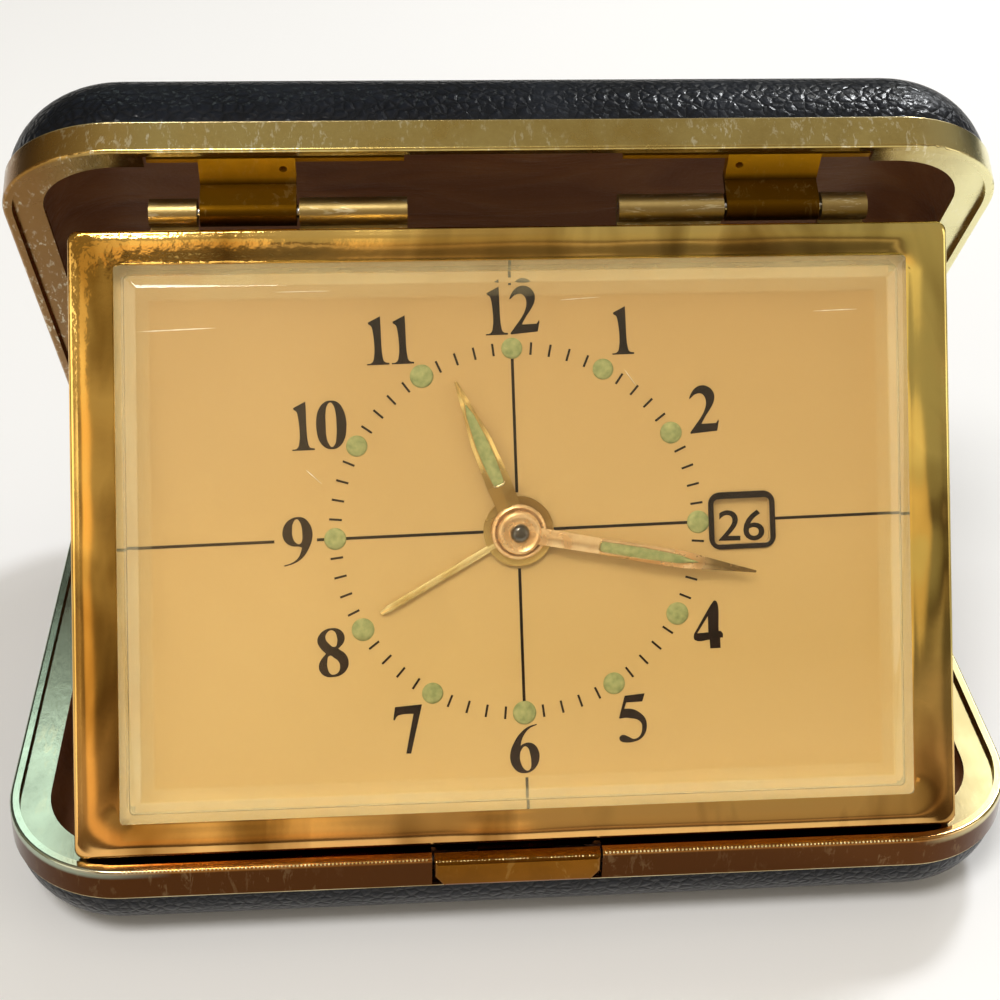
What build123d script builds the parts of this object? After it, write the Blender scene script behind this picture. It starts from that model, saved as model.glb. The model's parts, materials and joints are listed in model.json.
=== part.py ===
"""Folding travel alarm clock with a date window, standing open like a tent.

Two leather-covered half shells are hinged at the rear. The clock hangs from two hinges at the
front edge of the lid and stands on the front lip of the base. Millimetres, +Z up, front towards
-Y. The origin is the centre of the base shell's flat underside. Everything in the clock is drawn
in its own frame, X right, Y up the dial, Z out of it, with the dial's front face at Z = 0.
"""
from build123d import *
import os
from math import acos, asin, atan2, cos, degrees, hypot, radians, sin

# ---- clock: body, bezel and glass ----------------------------------------------------------------
BODY_W = 88.4
BODY_H = 61.0
BODY_R = 3.0
BODY_WALL = 0.9
BODY_BACK = -11.0
BACK_T = 0.8
BEZEL_OVER = (1.8, 1.5)   # how far the bezel stands out past the body: sides, ends
BEZEL_W, BEZEL_H = BODY_W + 2 * BEZEL_OVER[0], BODY_H + 2 * BEZEL_OVER[1]
BEZEL_R = 1.1
BEZEL_T = 2.0
BEZEL_FACE = 3.0          # bezel face in front of the dial
BEZEL_ROUND = 0.8
FRAME_RAIL = (4.65, 3.5)  # width of the bezel's rails: sides, top and bottom
OPENING_W, OPENING_H = BEZEL_W - 2 * FRAME_RAIL[0], BEZEL_H - 2 * FRAME_RAIL[1]
OPENING_R = 0.4
OPENING_BEVEL = 0.25
SKIRT_GAP = 0.1
FOOT_OUT = (0.85, 0.35)   # foot of the glass, held behind the bezel
FOOT_W, FOOT_H = OPENING_W + 2 * FOOT_OUT[0], OPENING_H + 2 * FOOT_OUT[1]
FOOT_Z = (0.3, 0.85)
GLASS_TOP = 4.5
GLASS_T = 1.0
GLASS_WALL = 1.1          # side walls of the glass
GLASS_BEVEL_IN = 2.3      # bevelled edge of the glass
GLASS_BEVEL_DOWN = 1.0
GLASS_GAP = 0.06

# ---- clock hinges --------------------------------------------------------------------------------
HINGE_IN = 7.2            # pin axis inwards from the front band
HINGE_OUT = 3.1           # pin axis beyond the lid's parting plane
HINGE_UP = 1.9            # pin axis above the bezel's top edge
HINGE_BACK = 3.6          # pin axis behind the bezel's face
HINGE_KNUCKLE_R = 1.5
HINGE_PIN_R = 0.7
HINGE_SHARES = (0.1217, 0.2457, 0.3576, 0.4130)
HINGE_X = [BEZEL_W * share for share in HINGE_SHARES]   # ends of inner knuckle, lid leaf, outer knuckle
PLATE_T = 0.7             # thickness of the lid leaf
PLATE_RISE = 4.0          # how far it runs up behind the band
PLATE_HOLE_R = 0.42
LEAF_T = 0.6              # thickness of the clock's leaf

# ---- case: two half shells, made round the clock -------------------------------------------------
BAND_H = 3.5              # brass band: height of its outer face
BAND_T = 1.0              # and its thickness
LIP_W = 3.2               # flat lip that runs inwards from the band
LIP_T = 0.5
BEAD_H = 0.7              # bead of the band that stands above the lip
BEAD_ROUND = 0.35
CLOCK_SIDE_GAP = 4.0      # bezel to the lips of the shut case, at the sides
CLOCK_END_GAP = 0.7       # and at the rear
CASE_W = BEZEL_W + 2 * (BAND_T + LIP_W + CLOCK_SIDE_GAP)                   # over the bands
CASE_D = BEZEL_H + HINGE_IN + HINGE_UP + CLOCK_END_GAP + BAND_T + LIP_W
CASE_R = 13.0             # corner radius in plan
BASE_H = 11.4             # base, underside to parting plane
LID_H = 13.0              # lid, parting plane to top
EDGE_RUN = 9.5            # how far in the rounded edge of each shell runs
SOLE_CUT = 0.05           # sliver ground off the rounded form to give it a true flat
LEATHER_IN = 0.35         # the leather lies this much inside the band's face
SHELL_WALL = 1.1
LINING_T = 0.6
LINING_GAP = 0.05
PARTING_GAP = 0.2         # between the two beads when the case is shut
LIP_CUT_GAP = 0.4
LIP_CUT_X = HINGE_X[3] + LIP_CUT_GAP   # the lid's front lip is cut away for the clock's hinges
LIP_CUT_DEPTH = 6.0       # from the band's face
LIP_CUT_R = 1.6

# ---- rear hinge ----------------------------------------------------------------------------------
KNUCKLE_R = 1.1
REAR_PIN_R = 0.55
PIN_CLEAR = 0.04          # running clearance of every pin, on the radius
REAR_AXIS_OUT = 1.35      # hinge axis behind the bands
REAR_LEAF_T = 0.5
REAR_LEAF_H = 3.0
REAR_LEAF_CLEAR = 1.35    # leaf to hinge axis, between its knuckles
REAR_HINGE_W = 60.0
REAR_KNUCKLES = 5
KNUCKLE_GAP = 0.15        # end gap between neighbouring knuckles
LID_SWING = 38.0          # how much further the lid opens
STAND_IN = 3.28           # foot of the bezel behind the face of the base's band
SEAT_GAP = 0.15           # under the bezel's lower back edge

# ---- latch button in the base's front band -------------------------------------------------------
BUTTON_W = 17.2
BUTTON_X = -0.8           # it sits a little left of the middle
BUTTON_H = 3.3
BUTTON_PROUD = 0.5        # its face stands this far out of the band
BUTTON_TRAVEL = 1.2
BUTTON_GAP = 0.25
STEM_W = 8.0
STEM_H = 1.5
STEM_L = 2.3
SPRING_T = 0.25
SPRING_BOW = 1.3

# ---- dial and hands ------------------------------------------------------------------------------
DIAL_T = 0.4
DIAL_GAP = 0.4
DOT_RING_R = 19.2
DOT_R = 1.18
DOT_T = 0.12
DIAL_TURN = 1.2           # the print and the date window sit a little askew, anticlockwise
DATE_HOLE = (5.9, 5.0)
DATE_HOLE_R = 0.6
FRAME_RIM = (0.63, 0.56)  # black frame round it: sides, top and bottom
FRAME_R = 0.95
FRAME_T = 0.3
MINUTE_LEN, HOUR_LEN, ALARM_LEN = 25.4, 17.1, 16.7
MINUTE_AT, HOUR_AT, ALARM_AT = 100.7, 337.9, 240.5   # clockwise from twelve
ARBOR_R = 0.5
TUBE_WALL = 0.4
TUBE_GAP = 0.05
ALARM_BOSS_R, HOUR_BOSS_R, MINUTE_BOSS_R, DOME_R = 3.7, 2.85, 2.25, 1.0
ALARM_HAND_Z = (0.45, 0.75)
HOUR_HAND_Z = (1.15, 1.45)
MINUTE_HAND_Z = (1.85, 2.15)
DOME_TOP = 3.1

# ---- movement ------------------------------------------------------------------------------------
FRONT_PLATE_Z = (-4.6, -3.6)
BACK_PLATE_Z = (-9.6, -8.8)
PLATE_W, PLATE_H = BODY_W - 10.4, BODY_H - 7.0
LUG_IN = 3.8              # corner lugs of the body, inwards from its faces
LUG_AT = (BODY_W / 2 - LUG_IN, BODY_H / 2 - LUG_IN)
LUG_R = 2.2
PILLAR_AT = (PLATE_W / 2 - 2.4, PLATE_H / 2 - 2.8)
PILLAR_R = 1.5
DIAL_FOOT_AT = (BODY_W / 2 - 7.2, BODY_H / 2 - 6.5)
SCREW_R = 0.6
PIVOT_R = 0.45
PIVOT_CLEAR = 0.05
MODULE = {"barrel": 0.45, "centre": 0.35, "third": 0.30, "fourth": 0.28,
          "cannon": 0.40, "alarm_set": 0.40, "alarm_barrel": 0.40}
TEETH = {"barrel": 60, "centre_pinion": 10, "centre": 60, "third_pinion": 8, "third": 60,
         "fourth_pinion": 8, "fourth": 56, "escape_pinion": 7, "escape": 15,
         "cannon": 12, "minute_wheel": 36, "minute_pinion": 10, "hour": 40,
         "set_pinion": 10, "alarm_wheel": 48, "alarm_pinion": 12,
         "date_pinion": 12, "date_wheel": 24, "date_ring": 31,
         "alarm_barrel": 48, "alarm_escape_pinion": 8, "alarm_escape": 12}
TIP, ROOT = 0.85, 1.15    # tooth heights, in modules
DATE_RING_W = 7.0
DATE_TOOTH = 0.5
DATE_RING_OUT = BODY_H / 2 - BODY_WALL - 2.2
DATE_RING_R = (DATE_RING_OUT - DATE_RING_W, DATE_RING_OUT)
DATE_RING_Z = (-1.15, -0.6)
DATE_X = DATE_RING_OUT - 3.5                     # centre of the date window
SEAT_R = (DATE_RING_R[0] + 1.5, DATE_RING_OUT + 1.0)
DATE_WHEEL_GAP = 0.8                             # date wheel to the ring's seat
_date_reach = TEETH["date_pinion"] / 2 + TEETH["date_wheel"] + TIP
MODULE["date"] = (SEAT_R[0] - DATE_WHEEL_GAP) / _date_reach
KEY_W, KEY_T, KEY_DROP = 14.0, 1.3, 3.0
KNOB_R, KNOB_H = 2.7, 2.2
BALANCE_R = 8.4
ESCAPE_R = 4.2
BALANCE_WALL_GAP = 2.2    # balance rim to the body's right wall
ROLLER_PIN_AT = 1.5       # impulse pin, from the balance axis
ESCAPE_TO_LEVER = 6.4
LEVER_LEN = 10.5          # lever axis to balance axis
ALARM_IN = (16.2, 15.0)   # alarm barrel, inwards from the body's faces
HAMMER_AT = (-12.0, 7.5)  # hammer arbor: across, and down from the body's top
STOP_AT = (10.2, -14.0)   # stop button: inwards from the body's side, and up the dial
LEVER_SWING, BALANCE_SWING = 5.0, 30.0


# ---- where things come to stand ------------------------------------------------------------------
def polar(radius, angle, at=(0.0, 0.0)):
    return (at[0] + radius * cos(radians(angle)), at[1] + radius * sin(radians(angle)))


def clockwise(angle):
    """Turn about Z that points +Y at this many degrees clockwise from twelve."""
    return Rot(0, 0, -angle)


def reach(module, *names):
    """Centre distance of two meshed wheels."""
    return MODULE[module] * sum(TEETH[n] for n in names) / 2


HINGE_Y = CASE_D / 2 + REAR_AXIS_OUT
HINGE_Z = BASE_H + PARTING_GAP / 2
SHUT_PIN_Y = -CASE_D / 2 + HINGE_IN
SHUT_PIN_Z = BASE_H + PARTING_GAP - HINGE_OUT
PIN_V = BEZEL_H / 2 + HINGE_UP            # pin axis in the clock's frame
PIN_N = BEZEL_FACE - HINGE_BACK
SEAT_Y = -CASE_D / 2 + STAND_IN           # bezel's lower back edge, where the clock stands
SEAT_Z = BASE_H - BEAD_H + SEAT_GAP
_down = BEZEL_H + HINGE_UP                # from the pin to that edge
_fore = BEZEL_FACE - BEZEL_T - PIN_N
_leg = hypot(_down, _fore)

# Base, lid and clock close a triangle, which sets the angle that the lid stands open at.
_pin_dy, _pin_dz = SHUT_PIN_Y - HINGE_Y, SHUT_PIN_Z - HINGE_Z
_seat_dy, _seat_dz = SEAT_Y - HINGE_Y, SEAT_Z - HINGE_Z
_lid_leg, _base_leg = hypot(_pin_dy, _pin_dz), hypot(_seat_dy, _seat_dz)
_corner = degrees(acos((_lid_leg ** 2 + _base_leg ** 2 - _leg ** 2) / (2 * _lid_leg * _base_leg)))
LID_OPEN = _corner + degrees(atan2(-_pin_dz, -_pin_dy) - atan2(-_seat_dz, -_seat_dy))
LID_PLACE = Pos(0, HINGE_Y, HINGE_Z) * Rot(-LID_OPEN, 0, 0) * Pos(0, -HINGE_Y, -HINGE_Z)
_open = radians(LID_OPEN)
PIN_Y = HINGE_Y + _pin_dy * cos(_open) + _pin_dz * sin(_open)
PIN_Z = HINGE_Z - _pin_dy * sin(_open) + _pin_dz * cos(_open)
FACE_TILT = degrees(atan2(_fore, _down) + asin((PIN_Z - SEAT_Z) / _leg))
CLOCK_PLACE = Pos(0, PIN_Y, PIN_Z) * Rot(FACE_TILT, 0, 0) * Pos(0, -PIN_V, -PIN_N)
CLOCK_SWING = 180.0 - FACE_TILT - LID_OPEN    # folds the clock's back into the lid

CENTRE = (0.0, 0.0)
BARREL_DIR, THIRD_DIR = 225.0, 60.0
BARREL = polar(reach("barrel", "barrel", "centre_pinion"), BARREL_DIR)
THIRD = polar(reach("centre", "centre", "third_pinion"), THIRD_DIR)
FOURTH = polar(reach("third", "third", "fourth_pinion"), 0, THIRD)
_balance_x = BODY_W / 2 - BODY_WALL - BALANCE_WALL_GAP - BALANCE_R
_fourth_to_balance = reach("fourth", "fourth", "escape_pinion") + ESCAPE_TO_LEVER + LEVER_LEN
ESCAPE_DIR = -degrees(acos((_balance_x - FOURTH[0]) / _fourth_to_balance))
ESCAPE = polar(reach("fourth", "fourth", "escape_pinion"), ESCAPE_DIR, FOURTH)
LEVER = polar(ESCAPE_TO_LEVER, ESCAPE_DIR, ESCAPE)
BALANCE = polar(LEVER_LEN, ESCAPE_DIR, LEVER)
MINUTE_WHEEL_DIR = 300.0
MINUTE_WHEEL = polar(reach("cannon", "cannon", "minute_wheel"), MINUTE_WHEEL_DIR)
SET_DIR = -20.0
SET_KNOB = polar(reach("cannon", "minute_wheel", "set_pinion"), SET_DIR, MINUTE_WHEEL)
ALARM_SET_DIR = 120.0
ALARM_KNOB = polar(reach("alarm_set", "alarm_wheel", "alarm_pinion"), ALARM_SET_DIR)
DATE_WHEEL_DIR = 180.0
DATE_WHEEL = polar(reach("date", "date_pinion", "date_wheel"), DATE_WHEEL_DIR)
ALARM_BARREL = (ALARM_IN[0] - BODY_W / 2, BODY_H / 2 - ALARM_IN[1])
ALARM_ESCAPE = polar(reach("alarm_barrel", "alarm_barrel", "alarm_escape_pinion"), 0, ALARM_BARREL)
HAMMER = (HAMMER_AT[0], BODY_H / 2 - HAMMER_AT[1])
STOP_BUTTON = (STOP_AT[0] - BODY_W / 2, STOP_AT[1])


# ---- solids --------------------------------------------------------------------------------------
def box(x, y, z):
    """Box from three (low, high) pairs."""
    size = [v[1] - v[0] for v in (x, y, z)]
    return Pos(*[(v[0] + v[1]) / 2 for v in (x, y, z)]) * Box(*size)


def slab(w, d, r, z0, z1):
    return Pos(0, 0, z0) * extrude(RectangleRounded(w, d, r), z1 - z0)


def disc(r, z0, z1, at=CENTRE):
    return Pos(at[0], at[1], (z0 + z1) / 2) * Cylinder(r, z1 - z0)


def ring(r_out, r_in, z0, z1, at=CENTRE):
    return disc(r_out, z0, z1, at) - disc(r_in, z0 - 1, z1 + 1, at)


def rod_x(r, x0, x1, y, z):
    return Pos((x0 + x1) / 2, y, z) * Rot(0, 90, 0) * Cylinder(r, x1 - x0)


def drawn(points, z0, z1):
    return Pos(0, 0, z0) * extrude(make_face(Polyline(*points, close=True)), z1 - z0)


def profile_x(points, x0, x1):
    """Prism along X from (y, z) points."""
    outline = Polyline(*[(x0, y, z) for y, z in points], close=True)
    return extrude(make_face(outline), x1 - x0, dir=(1, 0, 0))


def pillow(w, d, r, height, run):
    """Rounded tray form, flat face at Z = 0: its edge runs in by `run` over its whole height."""
    block = extrude(RectangleRounded(w, d, r), run)
    block = fillet(block.faces().sort_by(Axis.Z)[0].edges(), run * 0.98)
    return scale(block, by=(1, 1, height / run))


def toothed(teeth, module, z0, z1, turn=0.0, at=CENTRE, bore=0.0, tip=TIP, tip_share=0.10):
    """Spur wheel with a tooth centred at `turn` degrees."""
    pitch = 360.0 / teeth
    r_tip, r_root = module * (teeth / 2 + tip), module * (teeth / 2 - ROOT)
    points = []
    for k in range(teeth):
        mid = turn + k * pitch
        for r, share in ((r_root, -0.29), (r_tip, -tip_share), (r_tip, tip_share), (r_root, 0.29)):
            points.append(polar(r, mid + share * pitch))
    wheel = drawn(points, z0, z1)
    if bore:
        wheel -= disc(bore, z0 - 1, z1 + 1)
    return Pos(at[0], at[1], 0) * wheel


def meshed(teeth_a, turn_a, teeth_b, direction):
    """Turn of wheel b that puts a gap of it on a tooth of wheel a, b lying in this direction."""
    phase = ((direction - turn_a) * teeth_a / 360.0) % 1.0
    return direction + 180.0 - (0.5 - phase) * 360.0 / teeth_b


def crossed(wheel, r_in, r_out, arms, z0, z1, at=CENTRE):
    """Cuts round windows between the arms of a wheel."""
    r_mid, r_hole = (r_in + r_out) / 2, (r_out - r_in) / 2
    for k in range(arms):
        wheel -= disc(r_hole, z0 - 1, z1 + 1, polar(r_mid, k * 360 / arms, at))
    return wheel


def spiral(r0, r1, turns, thick, z0, z1, at=CENTRE, steps=20):
    """Flat wound spring."""
    count = int(turns * steps)
    radius = [r0 + (r1 - r0) * k / count for k in range(count + 1)]
    inner = [polar(radius[k], k * 360 / steps, at) for k in range(count + 1)]
    outer = [polar(radius[k] + thick, k * 360 / steps, at) for k in range(count + 1)]
    return drawn(inner + outer[::-1], z0, z1)


# ---- case shells ---------------------------------------------------------------------------------
def shell(height):
    """Leather-covered pan, underside at Z = 0 and parting plane at Z = height."""
    neck_z = height - BAND_H
    lip_z = height - BEAD_H - LIP_T
    w, d, r = inside(LEATHER_IN)
    outer = Pos(0, 0, -SOLE_CUT) * pillow(w, d, r, neck_z + SOLE_CUT, EDGE_RUN)
    outer -= box((-CASE_W, CASE_W), (-CASE_D, CASE_D), (-1, 0))
    outer += slab(*inside(BAND_T + 0.02), neck_z - 0.5, lip_z)
    return outer - Pos(0, 0, SHELL_WALL) * cavity(neck_z - SHELL_WALL, lip_z - SHELL_WALL + 1, 0)


def inside(wall):
    """Width, depth and corner radius of the case's plan, this far inside the bands' face."""
    return CASE_W - 2 * wall, CASE_D - 2 * wall, CASE_R - wall


def cavity(pillow_h, top, inward):
    """Hollow of a shell: rounded below, straight above. `inward` thins it by a lining."""
    wall = BAND_T + SHELL_WALL + inward
    plan = inside(wall)
    return pillow(*plan, pillow_h, EDGE_RUN - wall / 2) + slab(*plan, pillow_h - 0.01, top)


def lining(height):
    """Fabric tray that covers the floor and the walls up to the lip."""
    neck = height - BAND_H
    top = height - BEAD_H - LIP_T - 0.1
    z1, z2 = SHELL_WALL + LINING_GAP, SHELL_WALL + LINING_GAP + LINING_T
    outside = Pos(0, 0, z1) * cavity(neck - z1, top - z1, LINING_GAP)
    return outside - Pos(0, 0, z2) * cavity(neck - z2, top - z2 + 1, LINING_GAP + LINING_T)


def rim(height):
    """Brass band with its bead and its flat inward lip."""
    outer = slab(*inside(0), height - BAND_H, height)
    outer = fillet(outer.faces().sort_by(Axis.Z)[-1].edges(), BEAD_ROUND)
    inner = slab(*inside(BAND_T), height - BAND_H - 1, height + 1)
    lip = slab(*inside(BAND_T / 2), height - BEAD_H - LIP_T, height - BEAD_H)
    lip -= slab(*inside(BAND_T + LIP_W), 0, height + 1)
    return outer - inner + lip


def lid_up(shape):
    """Turns a tray that opens upwards into the shut lid above the base."""
    return Pos(0, 0, BASE_H + PARTING_GAP + LID_H) * mirror(shape, Plane.XY)


def button_room():
    """Notch in the front band and its shell for the push piece and its travel."""
    half, y0 = BUTTON_W / 2 + BUTTON_GAP, -CASE_D / 2
    deep = BAND_T + BUTTON_TRAVEL + BUTTON_GAP
    room = box((-half, half), (y0 - 1, y0 + deep), (BASE_H - BUTTON_H - 0.1, BASE_H + 1))
    return Pos(BUTTON_X, 0, 0) * room


def base_shell():
    half, y0 = STEM_W / 2 + BUTTON_GAP, -CASE_D / 2
    window = box((-half, half), (y0 - 1, y0 + BAND_T + SHELL_WALL + 1), (BASE_H - BUTTON_H - 0.1, BASE_H))
    return shell(BASE_H) - Pos(BUTTON_X, 0, 0) * window - button_room()


def base_rim():
    return rim(BASE_H) - button_room()


def base_lining():
    y0 = -CASE_D / 2
    room = box((-STEM_W / 2 - 6, STEM_W / 2 + 6), (y0, y0 + 5.2), (BASE_H - BUTTON_H - 0.4, BASE_H))
    return lining(BASE_H) - Pos(BUTTON_X, 0, 0) * room


def lid_shell():
    return lid_up(shell(LID_H))


def lid_rim():
    """Its front lip is cut away for the clock's hinges, with rounded ends."""
    y0 = -CASE_D / 2
    middle = Pos(0, y0 + BAND_T + LIP_CUT_DEPTH / 2, 0)
    cut = middle * slab(2 * LIP_CUT_X, LIP_CUT_DEPTH, LIP_CUT_R, 0, 40)
    return lid_up(rim(LID_H) - cut)


def lid_lining():
    return lid_up(lining(LID_H) - plate_room())


def plate_room():
    """Space behind the lid's front band for the hinge plates, in the tray's own frame."""
    y0 = -CASE_D / 2 + BAND_T
    return box((-LIP_CUT_X, LIP_CUT_X), (y0, y0 + SHELL_WALL + PLATE_T + 0.4),
               (LID_H - PLATE_RISE - 1.4, LID_H + 1))


# ---- rear hinge ----------------------------------------------------------------------------------
def rear_leaf(first, side):
    """Leaf on the band's rear face: every second knuckle from number `first`, on webs.

    `side` is 1 for the lid's leaf, which runs up from the hinge axis, and -1 for the base's.
    """
    y = (CASE_D / 2 + 0.02, CASE_D / 2 + 0.02 + REAR_LEAF_T)
    half, step = REAR_HINGE_W / 2, REAR_HINGE_W / REAR_KNUCKLES
    leaf = box((-half, half - KNUCKLE_GAP), y, z_span(side, REAR_LEAF_CLEAR, REAR_LEAF_H))
    for k in range(first, REAR_KNUCKLES, 2):
        x = (-half + k * step, -half + (k + 1) * step - KNUCKLE_GAP)
        leaf += rod_x(KNUCKLE_R, *x, HINGE_Y, HINGE_Z) + box(x, y, z_span(side, 0, REAR_LEAF_CLEAR + 0.1))
    return leaf - rod_x(REAR_PIN_R + PIN_CLEAR, -REAR_HINGE_W, REAR_HINGE_W, HINGE_Y, HINGE_Z)


def z_span(side, near, far):
    """Heights this far above (1) or below (-1) the rear hinge's axis."""
    return sorted((HINGE_Z + side * near, HINGE_Z + side * far))


def base_hinge_leaf():
    return rear_leaf(0, -1)


def lid_hinge_leaf():
    return rear_leaf(1, 1)


def rear_hinge_pin():
    half = REAR_HINGE_W / 2
    return rod_x(REAR_PIN_R, -half, half, HINGE_Y, HINGE_Z)


# ---- latch ---------------------------------------------------------------------------------------
def latch_button():
    """Push piece with a knurled top edge, bevelled at its lower corners, and its stem."""
    y0 = -CASE_D / 2
    half, low, high = BUTTON_W / 2, BASE_H - BUTTON_H, BASE_H - 0.05
    outline = [(-half, high), (half, high), (half, low + 1.2), (half - 0.9, low), (-half + 0.9, low),
               (-half, low + 1.2)]
    face = Polyline(*[(x, y0 - BUTTON_PROUD, z) for x, z in outline], close=True)
    body = extrude(make_face(face), BUTTON_PROUD + BAND_T, dir=(0, 1, 0))
    stem = box((-STEM_W / 2, STEM_W / 2), (y0 + BAND_T - 0.1, y0 + BAND_T + STEM_L),
               (BASE_H - BUTTON_H + 0.2, BASE_H - BUTTON_H + 0.2 + STEM_H))
    return Pos(BUTTON_X, 0, 0) * (body + stem)


def latch_spring():
    """Bowed leaf spring behind the stem, its ends against the shell's front wall."""
    y_stem = -CASE_D / 2 + BAND_T + STEM_L
    half, mid = STEM_W / 2 + 5, STEM_W / 2 - 1
    y_end = y_stem - SPRING_BOW + 0.2
    near = [(-half, y_end), (-mid - 2, y_stem), (mid + 2, y_stem), (half, y_end)]
    far = [(x, y + SPRING_T) for x, y in near[::-1]]
    low = BASE_H - BUTTON_H + 0.3
    return Pos(BUTTON_X, 0, 0) * drawn(near + far, low, low + STEM_H - 0.2)


# ---- clock hinges --------------------------------------------------------------------------------
def mirrored(shape, side):
    return mirror(shape, Plane.YZ) if side < 0 else shape


def hinge_plate(side):
    """Lid leaf: strip behind the band, tab bent round the lip with a hole, and the middle knuckle."""
    y0 = -CASE_D / 2 + BAND_T + SHELL_WALL + 0.05
    z0 = BASE_H + PARTING_GAP
    y, z = SHUT_PIN_Y, SHUT_PIN_Z
    strip = box((HINGE_X[0] + 0.3, HINGE_X[3]), (y0, y0 + PLATE_T), (z0 + 0.4, z0 + PLATE_RISE))
    bend = [(y0, z0 + 1.6), (y0, z0 + 0.4), (y - HINGE_KNUCKLE_R, z0 - 0.6),
            (y - HINGE_KNUCKLE_R, z), (y - 0.75, z), (y - 0.75, z0 + 0.4), (y0 + PLATE_T, z0 + 1.6)]
    x0, x1 = HINGE_X[1] + KNUCKLE_GAP, HINGE_X[2] - KNUCKLE_GAP
    tab = profile_x(bend, x0, x1) + rod_x(HINGE_KNUCKLE_R, x0, x1, y, z)
    tab -= rod_x(HINGE_PIN_R + PIN_CLEAR, x0 - 1, x1 + 1, y, z)
    tab -= disc(PLATE_HOLE_R, z0 - 1, z0 + 2, (x0 + 1.3, y0 + 1.5))
    return LID_PLACE * mirrored(strip + tab, side)


def clock_leaf(side):
    """Clock's leaf: two knuckles, an upright behind the bezel and a foot on the body's top."""
    top = BODY_H / 2 + 0.02
    leaf = box((HINGE_X[0], HINGE_X[3]), (top, top + LEAF_T), (BODY_BACK + 2.0, PIN_N - 0.8))
    for a, b in ((HINGE_X[0], HINGE_X[1] - KNUCKLE_GAP), (HINGE_X[2] + KNUCKLE_GAP, HINGE_X[3])):
        leaf += rod_x(HINGE_KNUCKLE_R, a, b, PIN_V, PIN_N)
        leaf += box((a, b), (top, PIN_V), (PIN_N - HINGE_KNUCKLE_R, PIN_N - 0.8))
    leaf -= rod_x(HINGE_PIN_R, HINGE_X[0] - 1, HINGE_X[3] + 1, PIN_V, PIN_N)
    return CLOCK_PLACE * mirrored(leaf, side)


def hinge_pin(side):
    pin = rod_x(HINGE_PIN_R, HINGE_X[0], HINGE_X[3], PIN_V, PIN_N)
    return CLOCK_PLACE * mirrored(pin, side)


# ---- bezel, glass and body -----------------------------------------------------------------------
def bezel():
    """Polished frame with a skirt that fits into the body and holds the foot of the glass."""
    back = BEZEL_FACE - BEZEL_T
    frame = slab(BEZEL_W, BEZEL_H, BEZEL_R, back, BEZEL_FACE)
    frame = fillet(frame.faces().sort_by(Axis.Z)[-1].edges(), BEZEL_ROUND)
    inner_w, inner_h = BODY_W - 2 * (BODY_WALL + SKIRT_GAP), BODY_H - 2 * (BODY_WALL + SKIRT_GAP)
    frame += slab(inner_w, inner_h, BODY_R - BODY_WALL, 0.05, back + 0.1)
    frame -= slab(OPENING_W, OPENING_H, OPENING_R, -1, BEZEL_FACE + 1)
    frame -= slab(FOOT_W + 2 * GLASS_GAP, FOOT_H + 2 * GLASS_GAP, OPENING_R, -1, FOOT_Z[1] + GLASS_GAP)
    return chamfer(frame.faces().sort_by(Axis.Z)[-1].inner_wires()[0].edges(), OPENING_BEVEL)


def crystal():
    """Moulded clear cover with bevelled edges, standing a little proud of the bezel."""
    w, h, r = OPENING_W - 2 * GLASS_GAP, OPENING_H - 2 * GLASS_GAP, OPENING_R - GLASS_GAP
    shoulder = GLASS_TOP - GLASS_BEVEL_DOWN
    low = Pos(0, 0, shoulder) * RectangleRounded(w, h, r)
    high = Pos(0, 0, GLASS_TOP) * RectangleRounded(w - 2 * GLASS_BEVEL_IN, h - 2 * GLASS_BEVEL_IN, r)
    block = slab(w, h, r, FOOT_Z[0], shoulder) + loft([low, high], ruled=True)
    block += slab(FOOT_W, FOOT_H, OPENING_R, FOOT_Z[0], FOOT_Z[1])
    return block - slab(w - 2 * GLASS_WALL, h - 2 * GLASS_WALL, r, FOOT_Z[0] - 1, GLASS_TOP - GLASS_T)


def case_body():
    """Drawn wall with four corner lugs for the movement and the back cover."""
    w, h = BODY_W - 2 * BODY_WALL, BODY_H - 2 * BODY_WALL
    low, high = BODY_BACK + BACK_T, BEZEL_FACE - BEZEL_T - 0.02
    body = slab(BODY_W, BODY_H, BODY_R, low, high) - slab(w, h, BODY_R - BODY_WALL, low - 1, high + 1)
    for x, y in corners(*LUG_AT):
        sx, sy = (1 if x > 0 else -1), (1 if y > 0 else -1)
        lug_z = (low, FRONT_PLATE_Z[0] - 0.02)
        lug = disc(LUG_R, *lug_z, (x, y))
        lug += box(sorted((x, sx * (w / 2 + 0.3))), sorted((y, sy * (h / 2 + 0.3))), lug_z)
        body += lug - disc(SCREW_R, low - 1, high, (x, y))
    return body


def corners(x, y):
    return [(sx * x, sy * y) for sx in (-1, 1) for sy in (-1, 1)]


def back_cover():
    cover = slab(BODY_W, BODY_H, BODY_R, BODY_BACK, BODY_BACK + BACK_T - 0.02)
    cover = fillet(cover.faces().sort_by(Axis.Z)[0].edges(), 0.5)
    holes = ((BARREL, 1.6), (ALARM_BARREL, 1.6), (SET_KNOB, 1.0), (ALARM_KNOB, 1.0), (STOP_BUTTON, 1.7))
    for at, r in holes:
        cover -= disc(r, BODY_BACK - 1, BODY_BACK + 2, at)
    for at in corners(*LUG_AT):
        cover -= disc(SCREW_R + 0.1, BODY_BACK - 1, BODY_BACK + 2, at)
    x, y = BALANCE
    slot = ring(8.2, 6.6, BODY_BACK - 1, BODY_BACK + 2, BALANCE)
    return cover - (slot & box((x - 9, x - 4.5), (y - 4.6, y + 4.6), (BODY_BACK - 2, BODY_BACK + 2)))


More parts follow.
